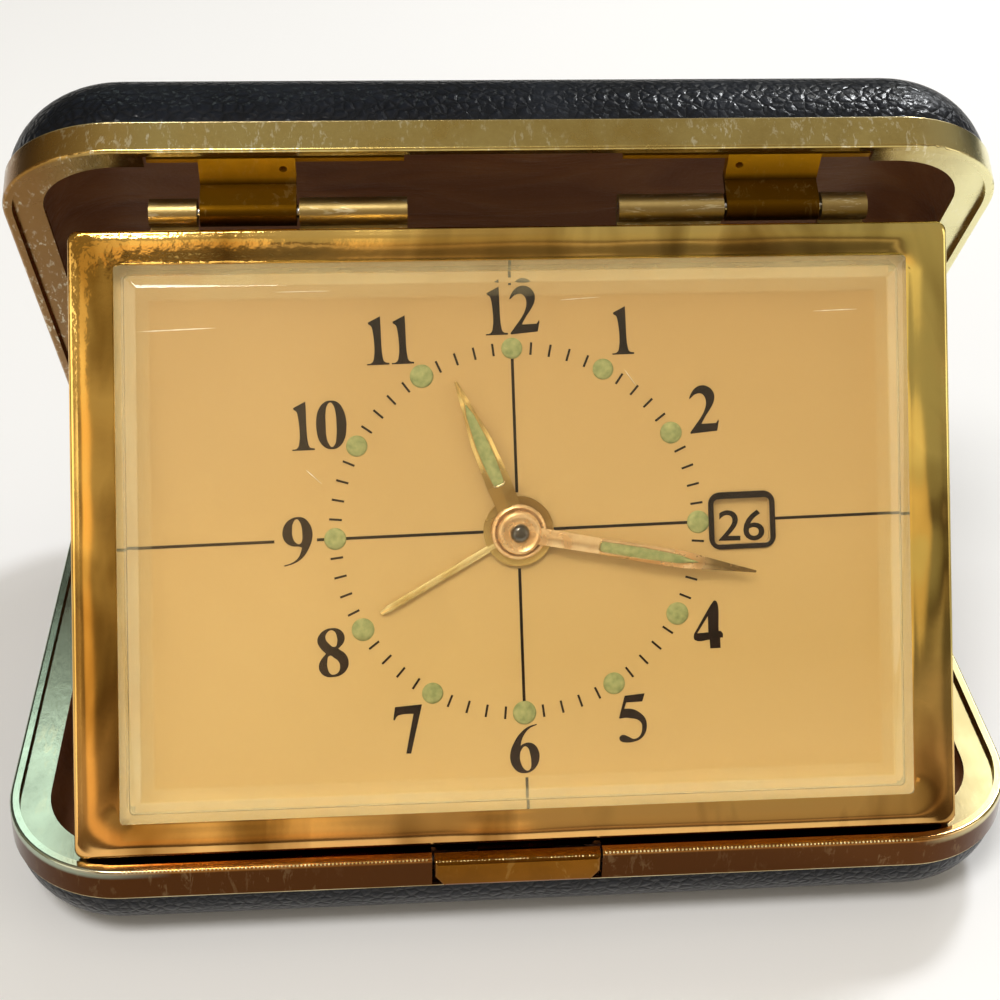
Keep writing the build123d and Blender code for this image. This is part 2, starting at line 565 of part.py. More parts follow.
# ---- dial side -----------------------------------------------------------------------------------
def dial():
    """Plate with the centre hole, the date window and four feet that stand on the front plate."""
    w, h = BODY_W - 2 * BODY_WALL - DIAL_GAP, BODY_H - 2 * BODY_WALL - DIAL_GAP
    plate = slab(w, h, BODY_R - BODY_WALL, -DIAL_T, 0)
    plate -= disc(tube_r(3) + 0.3, -2, 1)
    plate -= at_window(slab(*DATE_HOLE, DATE_HOLE_R, -2, 1))
    for at in corners(*DIAL_FOOT_AT):
        plate += disc(0.8, FRONT_PLATE_Z[1] + 0.02, -DIAL_T + 0.1, at)
    return plate


def at_window(shape):
    """Sets a shape at the date window, askew with the print."""
    return Rot(0, 0, DIAL_TURN) * Pos(DATE_X, 0, 0) * shape


def hour_dots():
    return Compound([disc(DOT_R, 0.01, DOT_T, polar(DOT_RING_R, 30 * k + DIAL_TURN)) for k in range(12)])


def date_window_frame():
    w, h = DATE_HOLE
    frame = slab(w + 2 * FRAME_RIM[0], h + 2 * FRAME_RIM[1], FRAME_R, 0.01, FRAME_T)
    return at_window(frame - slab(w - 0.2, h - 0.2, DATE_HOLE_R, -1, 1))


def date_ring():
    """Ring with the month's numbers, driven by its thirty-one inner teeth."""
    tip, root = DATE_RING_R[0], DATE_RING_R[0] + DATE_TOOTH
    band = ring(DATE_RING_R[1], root, *DATE_RING_Z)
    pitch = 360 / TEETH["date_ring"]
    for k in range(TEETH["date_ring"]):
        a = (k + 0.5) * pitch
        tooth = [polar(root + 0.1, a - 0.28 * pitch), polar(tip, a - 0.1 * pitch),
                 polar(tip, a + 0.1 * pitch), polar(root + 0.1, a + 0.28 * pitch)]
        band += drawn(tooth, *DATE_RING_Z)
    return band


def date_ring_seat():
    """Raised track on the front plate that carries the date ring, clear of the setting pinion."""
    track = ring(SEAT_R[1], SEAT_R[0], FRONT_PLATE_Z[1] + 0.02, DATE_RING_Z[0] - 0.1)
    pinion_r = MODULE["cannon"] * (TEETH["set_pinion"] / 2 + TIP)
    track -= disc(pinion_r + 0.3, FRONT_PLATE_Z[1], DATE_RING_Z[0] - 0.5, SET_KNOB)
    return track + ring(SEAT_R[1], DATE_RING_R[1] + 0.1, DATE_RING_Z[0] - 0.2, -DIAL_T - 0.05)


def tube_r(layer):
    """Outer radius of the nested tubes: 1 cannon, 2 hour, 3 alarm."""
    return ARBOR_R + layer * (TUBE_GAP + TUBE_WALL)


def nested_tube(layer, z0, z1):
    return ring(tube_r(layer), tube_r(layer) - TUBE_WALL, z0, z1)


def hand_blade(stations, z):
    """Blade along +Y from (y, half width) stations."""
    right = [(x, y) for y, x in stations]
    left = [(-x, y) for y, x in stations[::-1]]
    return drawn(right + left, *z)


def minute_hand():
    outline = [(1.2, 0.72), (8.5, 0.78), (14.0, 0.86), (18.5, 0.7), (MINUTE_LEN, 0.1)]
    blade = hand_blade(outline, MINUTE_HAND_Z)
    boss = disc(MINUTE_BOSS_R, MINUTE_HAND_Z[0], MINUTE_HAND_Z[1] + 0.15)
    return clockwise(MINUTE_AT) * (blade + boss) - disc(tube_r(1), -9, 9)


def hour_hand():
    outline = [(1.6, 1.0), (5.7, 1.15), (9.6, 1.1), (14.3, 0.58), (HOUR_LEN, 0.1)]
    blade = hand_blade(outline, HOUR_HAND_Z)
    boss = disc(HOUR_BOSS_R, HOUR_HAND_Z[0], HOUR_HAND_Z[1] + 0.1)
    return clockwise(HOUR_AT) * (blade + boss) - disc(tube_r(2), -9, 9)


def alarm_hand():
    blade = hand_blade([(2.0, 0.36), (ALARM_LEN - 0.3, 0.36), (ALARM_LEN, 0.2)], ALARM_HAND_Z)
    boss = disc(ALARM_BOSS_R, *ALARM_HAND_Z)
    return clockwise(ALARM_AT) * (blade + boss) - disc(tube_r(3), -9, 9)


def cannon_pinion():
    """Friction-held on the centre arbor; carries the minute hand and drives the minute wheel."""
    pinion = toothed(TEETH["cannon"], MODULE["cannon"], -3.4, -2.75, CANNON_TURN)
    return pinion + disc(tube_r(1), -3.4, MINUTE_HAND_Z[1] + 0.15) - disc(tube_r(1) - TUBE_WALL, -9, 9)


CANNON_TURN = 90.0 - MINUTE_AT
MINUTE_WHEEL_TURN = meshed(TEETH["cannon"], CANNON_TURN, TEETH["minute_wheel"], MINUTE_WHEEL_DIR)
MINUTE_PINION_TURN = 0.0
HOUR_TURN = meshed(TEETH["minute_pinion"], MINUTE_PINION_TURN, TEETH["hour"], MINUTE_WHEEL_DIR + 180)


def minute_wheel():
    wheel = toothed(TEETH["minute_wheel"], MODULE["cannon"], -3.3, -2.85, MINUTE_WHEEL_TURN, MINUTE_WHEEL)
    module = 2 * reach("cannon", "cannon", "minute_wheel") / (TEETH["minute_pinion"] + TEETH["hour"])
    wheel += toothed(TEETH["minute_pinion"], module, -2.9, -2.15, MINUTE_PINION_TURN, MINUTE_WHEEL)
    return wheel - disc(PIVOT_R + PIVOT_CLEAR, -9, 9, MINUTE_WHEEL)


def hour_wheel():
    """Carries the hour hand on its tube, and a small pinion for the date wheel."""
    module = 2 * reach("cannon", "cannon", "minute_wheel") / (TEETH["minute_pinion"] + TEETH["hour"])
    wheel = toothed(TEETH["hour"], module, -2.6, -2.25, HOUR_TURN)
    wheel += toothed(TEETH["date_pinion"], MODULE["date"], -2.3, -1.75, 0)
    return wheel + disc(tube_r(2), -2.6, HOUR_HAND_Z[1] + 0.1) - disc(tube_r(2) - TUBE_WALL, -9, 9)


def date_driver():
    """Turns once a day; its finger pushes the date ring on by one tooth."""
    turn = meshed(TEETH["date_pinion"], 0, TEETH["date_wheel"], DATE_WHEEL_DIR)
    wheel = toothed(TEETH["date_wheel"], MODULE["date"], -2.15, -1.75, turn, DATE_WHEEL)
    wheel += disc(1.2, -2.15, -0.65, DATE_WHEEL)
    finger_len = DATE_RING_R[0] + DATE_WHEEL[0] + 0.3
    finger = Pos(*DATE_WHEEL, 0) * Rot(0, 0, 250) * box((0, finger_len), (-0.45, 0.45), (-1.0, -0.65))
    return wheel + finger - disc(PIVOT_R + PIVOT_CLEAR, -9, 9, DATE_WHEEL)


def alarm_wheel():
    wheel = toothed(TEETH["alarm_wheel"], MODULE["alarm_set"], -1.6, -1.25, 0)
    wheel = crossed(wheel, 3.0, 8.0, 5, -2, -1)
    return wheel + disc(tube_r(3), -1.6, ALARM_HAND_Z[1]) - disc(tube_r(3) - TUBE_WALL, -9, 9)


# ---- movement ------------------------------------------------------------------------------------
def plate_holes(z0, z1, wide):
    """Pivot holes; `wide` names the arbors that pass right through."""
    cut = disc(1.0, z0 - 1, z1 + 1, CENTRE)
    for at in (THIRD, FOURTH, ESCAPE, LEVER, BALANCE, ALARM_ESCAPE, HAMMER):
        cut += disc(PIVOT_R + PIVOT_CLEAR, z0 - 1, z1 + 1, at)
    for at, r in wide:
        cut += disc(r, z0 - 1, z1 + 1, at)
    return cut


def front_plate():
    """Full-size plate on the body's lugs, with the studs of the dial-side wheels."""
    z0, z1 = FRONT_PLATE_Z
    w, h = BODY_W - 2 * BODY_WALL - DIAL_GAP, BODY_H - 2 * BODY_WALL - DIAL_GAP
    plate = slab(w, h, BODY_R - BODY_WALL, z0, z1)
    plate -= plate_holes(z0, z1, ((SET_KNOB, 0.65), (ALARM_KNOB, 0.65),
                                  (BARREL, 0.85), (ALARM_BARREL, 0.85)))
    for at in corners(*PILLAR_AT):
        plate -= disc(SCREW_R, z0 - 1, z1 + 1, at)
    plate += disc(PIVOT_R, z1 - 0.2, -2.1, MINUTE_WHEEL) + disc(PIVOT_R, z1 - 0.2, -0.7, DATE_WHEEL)
    return plate


def back_plate():
    z0, z1 = BACK_PLATE_Z
    plate = slab(PLATE_W, PLATE_H, 2.0, z0, z1)
    plate -= plate_holes(z0, z1, ((SET_KNOB, 0.65), (ALARM_KNOB, 0.65), (BARREL, 1.25),
                                  (ALARM_BARREL, 1.25), (STOP_BUTTON, 1.6)))
    for at in corners(*PILLAR_AT):
        plate -= disc(SCREW_R, z0 - 1, z1 + 1, at)
    for at in corners(*LUG_AT):
        plate -= disc(LUG_R + 0.3, z0 - 1, z1 + 1, at)
    return plate


def pillars():
    return Compound([ring(PILLAR_R, SCREW_R - 0.1, BACK_PLATE_Z[1] + 0.02, FRONT_PLATE_Z[0] - 0.02, at)
                     for at in corners(*PILLAR_AT)])


def plate_screws():
    """Four cheese-head screws through the back plate into the pillars."""
    z = BACK_PLATE_Z[0]
    screws = []
    for x, y in corners(*PILLAR_AT):
        head = disc(1.1, z - 0.5, z - 0.02, (x, y)) + disc(SCREW_R - 0.12, z - 0.1, z + 3.5, (x, y))
        screws.append(head - box((x - 2, x + 2), (y - 0.12, y + 0.12), (z - 1, z - 0.3)))
    return Compound(screws)


def back_cover_screws():
    z = BODY_BACK
    screws = []
    for x, y in corners(*LUG_AT):
        head = disc(1.3, z - 0.5, z - 0.02, (x, y)) + disc(SCREW_R - 0.05, z - 0.1, z + 5.5, (x, y))
        screws.append(head - box((x - 2, x + 2), (y - 0.15, y + 0.15), (z - 1, z - 0.25)))
    return Compound(screws)


def drum(at, r, z0, z1, teeth, module, turn):
    """Hollow going barrel with a toothed rim at its back, closed by its own lid."""
    body = disc(r, z0, z1, at) + toothed(teeth, module, z0, z0 + 0.7, turn, at)
    body -= disc(r - 0.6, z0 + 0.6, z1 - 0.5, at)
    return body - disc(1.25, z0 - 1, z1 + 1, at)


CENTRE_PINION_TURN = 0.0
BARREL_TURN = meshed(TEETH["centre_pinion"], CENTRE_PINION_TURN, TEETH["barrel"], BARREL_DIR)
THIRD_PINION_TURN = meshed(TEETH["centre"], 0, TEETH["third_pinion"], THIRD_DIR)
FOURTH_PINION_TURN = meshed(TEETH["third"], 0, TEETH["fourth_pinion"], 0)
ESCAPE_PINION_TURN = meshed(TEETH["fourth"], 0, TEETH["escape_pinion"], ESCAPE_DIR)


def time_barrel():
    return drum(BARREL, 12.4, -8.5, -5.7, TEETH["barrel"], MODULE["barrel"], BARREL_TURN)


def alarm_barrel():
    return drum(ALARM_BARREL, 8.6, -8.5, -5.7, TEETH["alarm_barrel"], MODULE["alarm_barrel"], 0)


def time_mainspring():
    return spiral(1.9, 11.0, 9, 0.3, -7.8, -6.3, BARREL)


def alarm_mainspring():
    return spiral(1.9, 7.3, 6, 0.3, -7.8, -6.3, ALARM_BARREL)


def winding_arbor(at):
    """Runs in both plates and through the barrel, out of the back."""
    return disc(1.2, -12.4, -4.65, at) + disc(0.8, -4.7, FRONT_PLATE_Z[1] - 0.1, at)


def winding_key(at, lean):
    """Round boss with a flat wing to turn it by, stood off the back cover."""
    boss_z = BODY_BACK - 0.6
    boss = disc(2.6, boss_z - 1.2, boss_z, at)
    wing = Pos(*at, 0) * Rot(0, 0, lean) * box((-KEY_W / 2, KEY_W / 2), (-KEY_T / 2, KEY_T / 2),
                                              (BODY_BACK - KEY_DROP, boss_z - 0.4))
    wing = fillet(wing.edges().filter_by(Axis.Z), 0.45)
    return boss + wing - disc(1.2, -12.4, -9, at)


def centre_wheel():
    """Centre arbor with its wheel and pinion; its domed end shows at the hub of the hands."""
    wheel = crossed(toothed(TEETH["centre"], MODULE["centre"], -5.4, -5.0), 2.6, 9.2, 5, -5.4, -5.0)
    wheel += toothed(TEETH["centre_pinion"], MODULE["barrel"], -8.5, -6.6, CENTRE_PINION_TURN)
    wheel += disc(0.9, -9.5, -4.65) + disc(ARBOR_R, -5, DOME_TOP - 0.6)
    dome = Pos(0, 0, MINUTE_HAND_Z[1] + 0.2) * extrude(Circle(DOME_R), DOME_TOP - MINUTE_HAND_Z[1] - 0.2)
    dome = fillet(dome.edges().sort_by(Axis.Z)[-1], 0.7)
    return wheel + dome


def arbor(at, r):
    """Staff between the plates with a pivot in each."""
    staff = disc(r, BACK_PLATE_Z[1] + 0.05, FRONT_PLATE_Z[0] - 0.05, at)
    return staff + disc(PIVOT_R, BACK_PLATE_Z[0] + 0.1, FRONT_PLATE_Z[1] - 0.1, at)


def geared_arbor(at, wheel, wheel_z, pinion, driver, pinion_z, pinion_turn):
    """Train wheel with its pinion on one arbor; `driver` is the wheel that drives the pinion."""
    r = MODULE[wheel] * TEETH[wheel] / 2
    rim_part = toothed(TEETH[wheel], MODULE[wheel], *wheel_z, 0, at)
    rim_part = crossed(rim_part, r * 0.25, r * 0.86, 5, *wheel_z, at)
    return rim_part + toothed(TEETH[pinion], MODULE[driver], *pinion_z, pinion_turn, at) + arbor(at, 0.6)


def third_wheel():
    return geared_arbor(THIRD, "third", (-6.2, -5.85), "third_pinion", "centre", (-5.7, -4.75),
                        THIRD_PINION_TURN)


def fourth_wheel():
    return geared_arbor(FOURTH, "fourth", (-7.6, -7.25), "fourth_pinion", "third", (-6.5, -5.6),
                        FOURTH_PINION_TURN)


def escape_wheel():
    """Fifteen slender teeth; the pallet pins stand in gaps of it as the lever rocks."""
    points = []
    gap = ESCAPE_DIR + 48.0
    for k in range(TEETH["escape"]):
        mid = gap + (k + 0.5) * 360 / TEETH["escape"]
        for r, turn in ((3.2, -3.5), (ESCAPE_R, -1.0), (ESCAPE_R, 1.0), (3.2, 3.5)):
            points.append(polar(r, mid + turn))
    wheel = Pos(*ESCAPE, 0) * drawn(points, -5.6, -5.25)
    wheel += toothed(TEETH["escape_pinion"], MODULE["fourth"], -7.8, -7.0, ESCAPE_PINION_TURN, ESCAPE)
    return wheel + arbor(ESCAPE, 0.55)


def pallet_lever():
    """Rocker with two steel pins at the escape wheel and a fork at the balance."""
    arm = Pos(*LEVER, 0) * Rot(0, 0, ESCAPE_DIR) * (box((0, 7.6), (-0.4, 0.4), (-6.3, -6.0)) + fork())
    lever = arm + disc(0.9, -6.3, -5.9, LEVER)
    for side in (-1, 1):
        pin = polar(ESCAPE_R + 0.3, ESCAPE_DIR + side * 48.0, ESCAPE)
        span = hypot(pin[0] - LEVER[0], pin[1] - LEVER[1])
        turn = degrees(atan2(pin[1] - LEVER[1], pin[0] - LEVER[0]))
        lever += Pos(*LEVER, 0) * Rot(0, 0, turn) * box((0, span), (-0.3, 0.3), (-6.3, -6.0))
        lever += disc(0.35, -6.3, -6.0, pin) + disc(0.2, -6.3, -5.1, pin)
    return lever + disc(PIVOT_R, BACK_PLATE_Z[0] + 0.1, FRONT_PLATE_Z[1] - 0.1, LEVER)


def fork():
    """Two tines either side of the impulse pin, in the lever's own line."""
    reach_y = LEVER_LEN - ROLLER_PIN_AT
    heel = box((7.2, reach_y - 0.7), (-0.9, 0.9), (-6.3, -6.0))
    for side in (-1, 1):
        heel += box((reach_y - 0.9, reach_y + 0.45), (side * 0.6 - 0.3, side * 0.6 + 0.3), (-6.3, -6.0))
    return heel


def balance_wheel():
    """Rim, two arms, staff and the roller with its impulse pin."""
    z = (-7.5, -6.8)
    wheel = ring(BALANCE_R, BALANCE_R - 0.9, *z, BALANCE)
    arms = box((-BALANCE_R + 0.4, BALANCE_R - 0.4), (-0.6, 0.6), z)
    wheel += Pos(*BALANCE, 0) * Rot(0, 0, ESCAPE_DIR) * arms
    wheel += disc(2.0, -6.85, -6.6, BALANCE)
    wheel += disc(0.2, -6.7, -5.9, polar(ROLLER_PIN_AT, ESCAPE_DIR + 180, BALANCE))
    return wheel + arbor(BALANCE, 0.6)


def hairspring():
    return spiral(0.75, 5.2, 9, 0.12, -8.3, -8.0, BALANCE)


def regulator():
    """Lever on the back plate that turns about the balance; its finger shows in the back cover."""
    z = (-10.1, -9.65)
    hub = ring(1.8, 0.7, *z, BALANCE)
    arm = Pos(*BALANCE, 0) * Rot(0, 0, 180) * (box((1.2, 7.9), (-0.5, 0.5), z)
                                             + box((6.9, 7.9), (-0.4, 0.4), (BODY_BACK - 0.4, z[1])))
    return hub + arm


def alarm_escape_wheel():
    turn = meshed(TEETH["alarm_barrel"], 0, TEETH["alarm_escape_pinion"], 0)
    wheel = toothed(TEETH["alarm_escape_pinion"], MODULE["alarm_barrel"], -8.6, -7.7, turn, ALARM_ESCAPE)
    wheel += toothed(TEETH["alarm_escape"], 0.6, -5.5, -5.1, 0, ALARM_ESCAPE)
    return wheel + arbor(ALARM_ESCAPE, 0.55)


def alarm_hammer():
    """Arm with a round head that beats on the body's wall."""
    arm = Pos(*HAMMER, 0) * Rot(0, 0, 8) * box((0, 14), (-0.5, 0.5), (-7.2, -6.6))
    head = disc(1.6, -7.8, -6.0, polar(14, 8, HAMMER))
    body = arm + head + disc(1.1, -7.2, -6.2, HAMMER)
    return body + disc(PIVOT_R, BACK_PLATE_Z[0] + 0.1, FRONT_PLATE_Z[1] - 0.1, HAMMER)


def setting_knob(at, pinion_name, pinion_z, module, turn):
    """Knurled knob at the back on an arbor that runs forward to its pinion."""
    z1 = BODY_BACK - 0.4
    grip = toothed(24, 2 * KNOB_R / 24, z1 - KNOB_H, z1, 0, at, tip=0.0, tip_share=0.2)
    shaft = disc(0.6, z1 - 0.2, pinion_z[1], at)
    return grip + shaft + toothed(TEETH[pinion_name], module, *pinion_z, turn, at)


def time_setting_knob():
    turn = meshed(TEETH["minute_wheel"], MINUTE_WHEEL_TURN, TEETH["set_pinion"], SET_DIR)
    return setting_knob(SET_KNOB, "set_pinion", (-3.45, -2.7), MODULE["cannon"], turn)


def alarm_setting_knob():
    turn = meshed(TEETH["alarm_wheel"], 0, TEETH["alarm_pinion"], ALARM_SET_DIR)
    return setting_knob(ALARM_KNOB, "alarm_pinion", (-1.75, -1.1), MODULE["alarm_set"], turn)


def alarm_stop_button():
    """Pull-out stop, a flanged plunger through the back."""
    stem = disc(1.5, BODY_BACK - 1.0, BACK_PLATE_Z[0] + 0.6, STOP_BUTTON)
    return stem + disc(2.3, BODY_BACK - 2.2, BODY_BACK - 0.9, STOP_BUTTON)


# ---- the assembly --------------------------------------------------------------------------------
CASE_PARTS = {"base_shell": base_shell, "base_rim": base_rim, "base_lining": base_lining,
              "base_hinge_leaf": base_hinge_leaf, "rear_hinge_pin": rear_hinge_pin,
              "latch_button": latch_button, "latch_spring": latch_spring}
LID_PARTS = {"lid_shell": lid_shell, "lid_rim": lid_rim, "lid_lining": lid_lining,
             "lid_hinge_leaf": lid_hinge_leaf}
CLOCK_PARTS = {f.__name__: f for f in (
    bezel, crystal, case_body, back_cover, dial, hour_dots, date_window_frame, date_ring, date_ring_seat,
    date_driver, alarm_hand, hour_hand, minute_hand, cannon_pinion, minute_wheel, hour_wheel, alarm_wheel,
    front_plate, back_plate, pillars, plate_screws, back_cover_screws, time_barrel, alarm_barrel,
    time_mainspring, alarm_mainspring, centre_wheel, third_wheel, fourth_wheel, escape_wheel, pallet_lever,
    balance_wheel, hairspring, regulator, alarm_escape_wheel, alarm_hammer, time_setting_knob,
    alarm_setting_knob, alarm_stop_button)}


def assembly():
    nodes = {name: make() for name, make in CASE_PARTS.items()}
    nodes.update({name: LID_PLACE * make() for name, make in LID_PARTS.items()})
    for side, word in ((-1, "left"), (1, "right")):
        nodes[f"{word}_hinge_plate"] = hinge_plate(side)
        nodes[f"{word}_clock_leaf"] = clock_leaf(side)
        nodes[f"{word}_hinge_pin"] = hinge_pin(side)
    nodes.update({name: CLOCK_PLACE * make() for name, make in CLOCK_PARTS.items()})
    for word, at, lean in (("time", BARREL, 20), ("alarm", ALARM_BARREL, 70)):
        nodes[f"{word}_arbor"] = CLOCK_PLACE * winding_arbor(at)
        nodes[f"{word}_key"] = CLOCK_PLACE * winding_key(at, lean)
    return nodes


os.makedirs("parts", exist_ok=True)
for node, solid in assembly().items():
    export_step(solid, f"parts/{node}.step")
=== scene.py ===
import bmesh
import bpy
import json
from math import cos, pi, radians, sin
from mathutils import Euler, Matrix, Vector, noise


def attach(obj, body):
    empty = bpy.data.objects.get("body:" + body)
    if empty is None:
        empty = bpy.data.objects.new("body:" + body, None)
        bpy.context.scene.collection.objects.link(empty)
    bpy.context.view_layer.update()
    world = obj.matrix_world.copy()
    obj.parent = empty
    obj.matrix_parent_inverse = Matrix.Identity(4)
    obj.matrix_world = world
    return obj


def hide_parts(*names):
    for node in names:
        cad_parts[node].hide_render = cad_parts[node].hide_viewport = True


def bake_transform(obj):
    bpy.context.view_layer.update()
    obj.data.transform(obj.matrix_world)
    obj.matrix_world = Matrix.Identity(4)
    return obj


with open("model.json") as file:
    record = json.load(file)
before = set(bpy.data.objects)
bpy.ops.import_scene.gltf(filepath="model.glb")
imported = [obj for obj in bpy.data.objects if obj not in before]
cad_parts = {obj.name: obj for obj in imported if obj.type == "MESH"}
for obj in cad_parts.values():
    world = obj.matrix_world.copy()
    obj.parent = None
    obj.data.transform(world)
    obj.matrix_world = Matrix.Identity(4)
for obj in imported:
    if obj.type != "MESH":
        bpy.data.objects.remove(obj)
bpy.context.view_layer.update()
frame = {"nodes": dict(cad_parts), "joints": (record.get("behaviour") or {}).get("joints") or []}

# ---- Camera ----
# A lens of moderate length looks down at the clock from the front, almost square to its leaning
# dial, from a little to the left. A small shift sets the clock in the middle of the picture.
MM = 0.001


def placed(name, data):
    """A new object of this name in the scene."""
    thing = bpy.data.objects.new(name, data)
    bpy.context.scene.collection.objects.link(thing)
    return thing


lens = bpy.data.cameras.new("lens")
lens.sensor_width = 36.0
lens.lens = 65.21
lens.shift_x, lens.shift_y = -0.025376, -0.23646
lens.clip_start = 0.01
camera = placed("camera", lens)
camera.location = Vector((-15.2082, -177.159, 150.4667)) * MM
camera.rotation_euler = Euler([radians(a) for a in (63.0720, -1.5359, -4.7279)])
bpy.context.scene.camera = camera
bpy.context.scene.view_settings.view_transform = "Standard"


# ---- Studio ----
# A pale, matt floor sweeps away under the clock. A round soft lamp hangs above and in front of it,
# a wide weak one fills from each side, and smaller ones brush the lid and the back from behind. The
# walls are dim and warm, with two soft glows low in front that show in the glass and the brass.
def add(tree, kind, inputs=(), **settings):
    """One node of a tree: its settings, and its inputs as values or as sockets to join."""
    made = tree.nodes.new(kind)
    for key, value in settings.items():
        setattr(made, key, value)
    for key, value in dict(inputs).items():
        if isinstance(value, bpy.types.NodeSocket):
            tree.links.new(value, made.inputs[key])
        else:
            made.inputs[key].default_value = value
    return made


def new_finish(name, **surface):
    """A material, the place of a point on its object in metres, and its surface shader with these
    plain values."""
    material = bpy.data.materials.new(name)
    material.use_nodes = True
    tree = material.node_tree
    shader = tree.nodes["Principled BSDF"]
    for key, value in surface.items():
        shader.inputs[key.replace("_", " ")].default_value = value
    return material, add(tree, "ShaderNodeTexCoord").outputs["Object"], shader


def ramp(value, *stops):
    """Colour from a value's socket, by (position, colour) stops."""
    made = add(value.id_data, "ShaderNodeValToRGB", {"Fac": value})
    points = made.color_ramp.elements
    while len(points) < len(stops):
        points.new(0.5)
    for point, (position, colour) in zip(points, stops):
        point.position = position
        point.color = (*colour, 1.0)
    return made.outputs["Color"]


def mix(share, low, high):
    """Colour between two colours, each a value or a socket, by a share's socket."""
    low, high = ((*value, 1.0) if isinstance(value, tuple) else value for value in (low, high))
    return add(share.id_data, "ShaderNodeMix", {0: share, 6: low, 7: high}, data_type="RGBA").outputs[2]


def sums(operation, *values):
    """Result of an operation on values, each a number or a socket, at least one a socket."""
    tree = next(value.id_data for value in values if isinstance(value, bpy.types.NodeSocket))
    return add(tree, "ShaderNodeMath", dict(enumerate(values)), operation=operation).outputs[0]


def levels(value, *stops):
    """Number from a value, by (position, number) stops."""
    return ramp(value, *[(position, (level, level, level)) for position, level in stops])


def mottling(at, scale, detail=2.0, roughness=0.5, distortion=0.0):
    """Cloudy pattern of 0 to 1, about this many clouds to the metre."""
    return add(at.id_data, "ShaderNodeTexNoise", {
        "Vector": at, "Scale": scale, "Detail": detail, "Roughness": roughness,
        "Distortion": distortion}).outputs["Fac"]


def feed(shader, **sockets):
    """Joins sockets to the inputs of these names on a surface shader."""
    for key, socket in sockets.items():
        shader.id_data.links.new(socket, shader.inputs[key.replace("_", " ")])


floor_paper, at, shader = new_finish("floor_paper", Roughness=0.85)
path = add(floor_paper.node_tree, "ShaderNodeLightPath").outputs
seen = sums("MAXIMUM", path["Is Camera Ray"],
            sums("MAXIMUM", path["Is Glossy Ray"], path["Is Transmission Ray"]))
pale = ramp(mottling(at, 3.0), (0.3, (0.85, 0.86, 0.88)), (0.7, (0.88, 0.89, 0.91)))
feed(shader, Base_Color=mix(seen, (0.30, 0.27, 0.22), pale))
FLOOR_HALF, FLOOR_Z = 3.0, -0.0002
corners = [(x * FLOOR_HALF, y * FLOOR_HALF, FLOOR_Z) for x, y in ((-1, -1), (1, -1), (1, 1), (-1, 1))]
floor_mesh = bpy.data.meshes.new("floor")
floor_mesh.from_pydata(corners, [], [(0, 1, 2, 3)])
floor_mesh.materials.append(floor_paper)
floor = placed("floor", floor_mesh)

CLOCK_MIDDLE = Vector((0.0, 0.0, 0.035))


def soft_lamp(name, place, size, watts, tint):
    """Round area lamp that looks at the clock."""
    light = bpy.data.lights.new(name, "AREA")
    light.shape, light.size, light.energy, light.color = "DISK", size, watts, tint
    lamp = placed(name, light)
    lamp.location = place
    lamp.rotation_euler = (CLOCK_MIDDLE - Vector(place)).to_track_quat("-Z", "Y").to_euler()


soft_lamp("key_lamp", (-0.20, -0.40, 0.76), 0.26, 3.75, (1.0, 0.975, 0.94))
soft_lamp("left_panel", (-0.66, -0.58, 0.30), 0.60, 1.2, (1.0, 0.97, 0.92))
soft_lamp("right_panel", (0.80, -0.42, 0.32), 0.60, 1.2, (1.0, 0.98, 0.95))
soft_lamp("back_lamp", (0.55, 0.55, 0.48), 0.32, 0.9, (0.96, 0.98, 1.0))
soft_lamp("lid_lamp", (0.40, 0.47, 0.68), 0.15, 3.4, (0.96, 0.98, 1.0))
soft_lamp("rear_left_lamp", (-0.206, 0.60, 0.62), 0.14, 0.11, (0.86, 1.0, 0.95))
soft_lamp("rear_right_lamp", (0.31, 0.60, 0.55), 0.20, 0.15, (1.0, 0.97, 0.85))

world = bpy.data.worlds.new("studio")
world.use_nodes = True
bpy.context.scene.world = world
tree = world.node_tree
outward = add(tree, "ShaderNodeTexCoord").outputs["Generated"]
way = add(tree, "ShaderNodeSeparateXYZ", {0: outward}).outputs
sky = ramp(sums("MULTIPLY_ADD", way["Z"], 0.5, 0.5),
           (0.50, (0.12, 0.09, 0.06)), (0.58, (0.20, 0.15, 0.10)), (0.606, (0.62, 0.46, 0.31)),
           (0.632, (0.12, 0.08, 0.05)), (0.668, (0.42, 0.35, 0.24)), (0.74, (0.46, 0.39, 0.27)),
           (1.0, (0.42, 0.38, 0.32)))
rear = levels(sums("MULTIPLY_ADD", way["Y"], 0.5, 0.5), (0.50, 0.0), (0.75, 0.85))
sky = mix(rear, sky, (0.05, 0.06, 0.06))
# Each glow: the way towards it, the cosine of the angle where it ends, and its colour.
FRONT_GLOWS = (((-0.147, -0.936, 0.319), 0.982, (1.05, 0.72, 0.38)),
               ((-0.149, -0.874, 0.47), 0.988, (1.0, 0.80, 0.50)))
GLOW_HEART = 0.999
for aim, rim, tint in FRONT_GLOWS:
    toward = add(tree, "ShaderNodeVectorMath", {0: outward, 1: aim}, operation="DOT_PRODUCT").outputs["Value"]
    glow = add(tree, "ShaderNodeMapRange", {"Value": toward, "From Min": rim, "From Max": GLOW_HEART},
               interpolation_type="SMOOTHERSTEP").outputs[0]
    sky = mix(glow, sky, tint)
tree.links.new(sky, tree.nodes["Background"].inputs["Color"])


# ---- Leather covers ----
# Both half shells are pressed board covered in thin blue-black leather, grained and glossy, drawn
# tight over the rounded edges and tucked under the brass bands.
def coat(finish, *nodes):
    """Gives turned and stamped parts of the clock their finish."""
    for name in nodes:
        for held in frame["nodes"][name].material_slots:
            held.material = finish


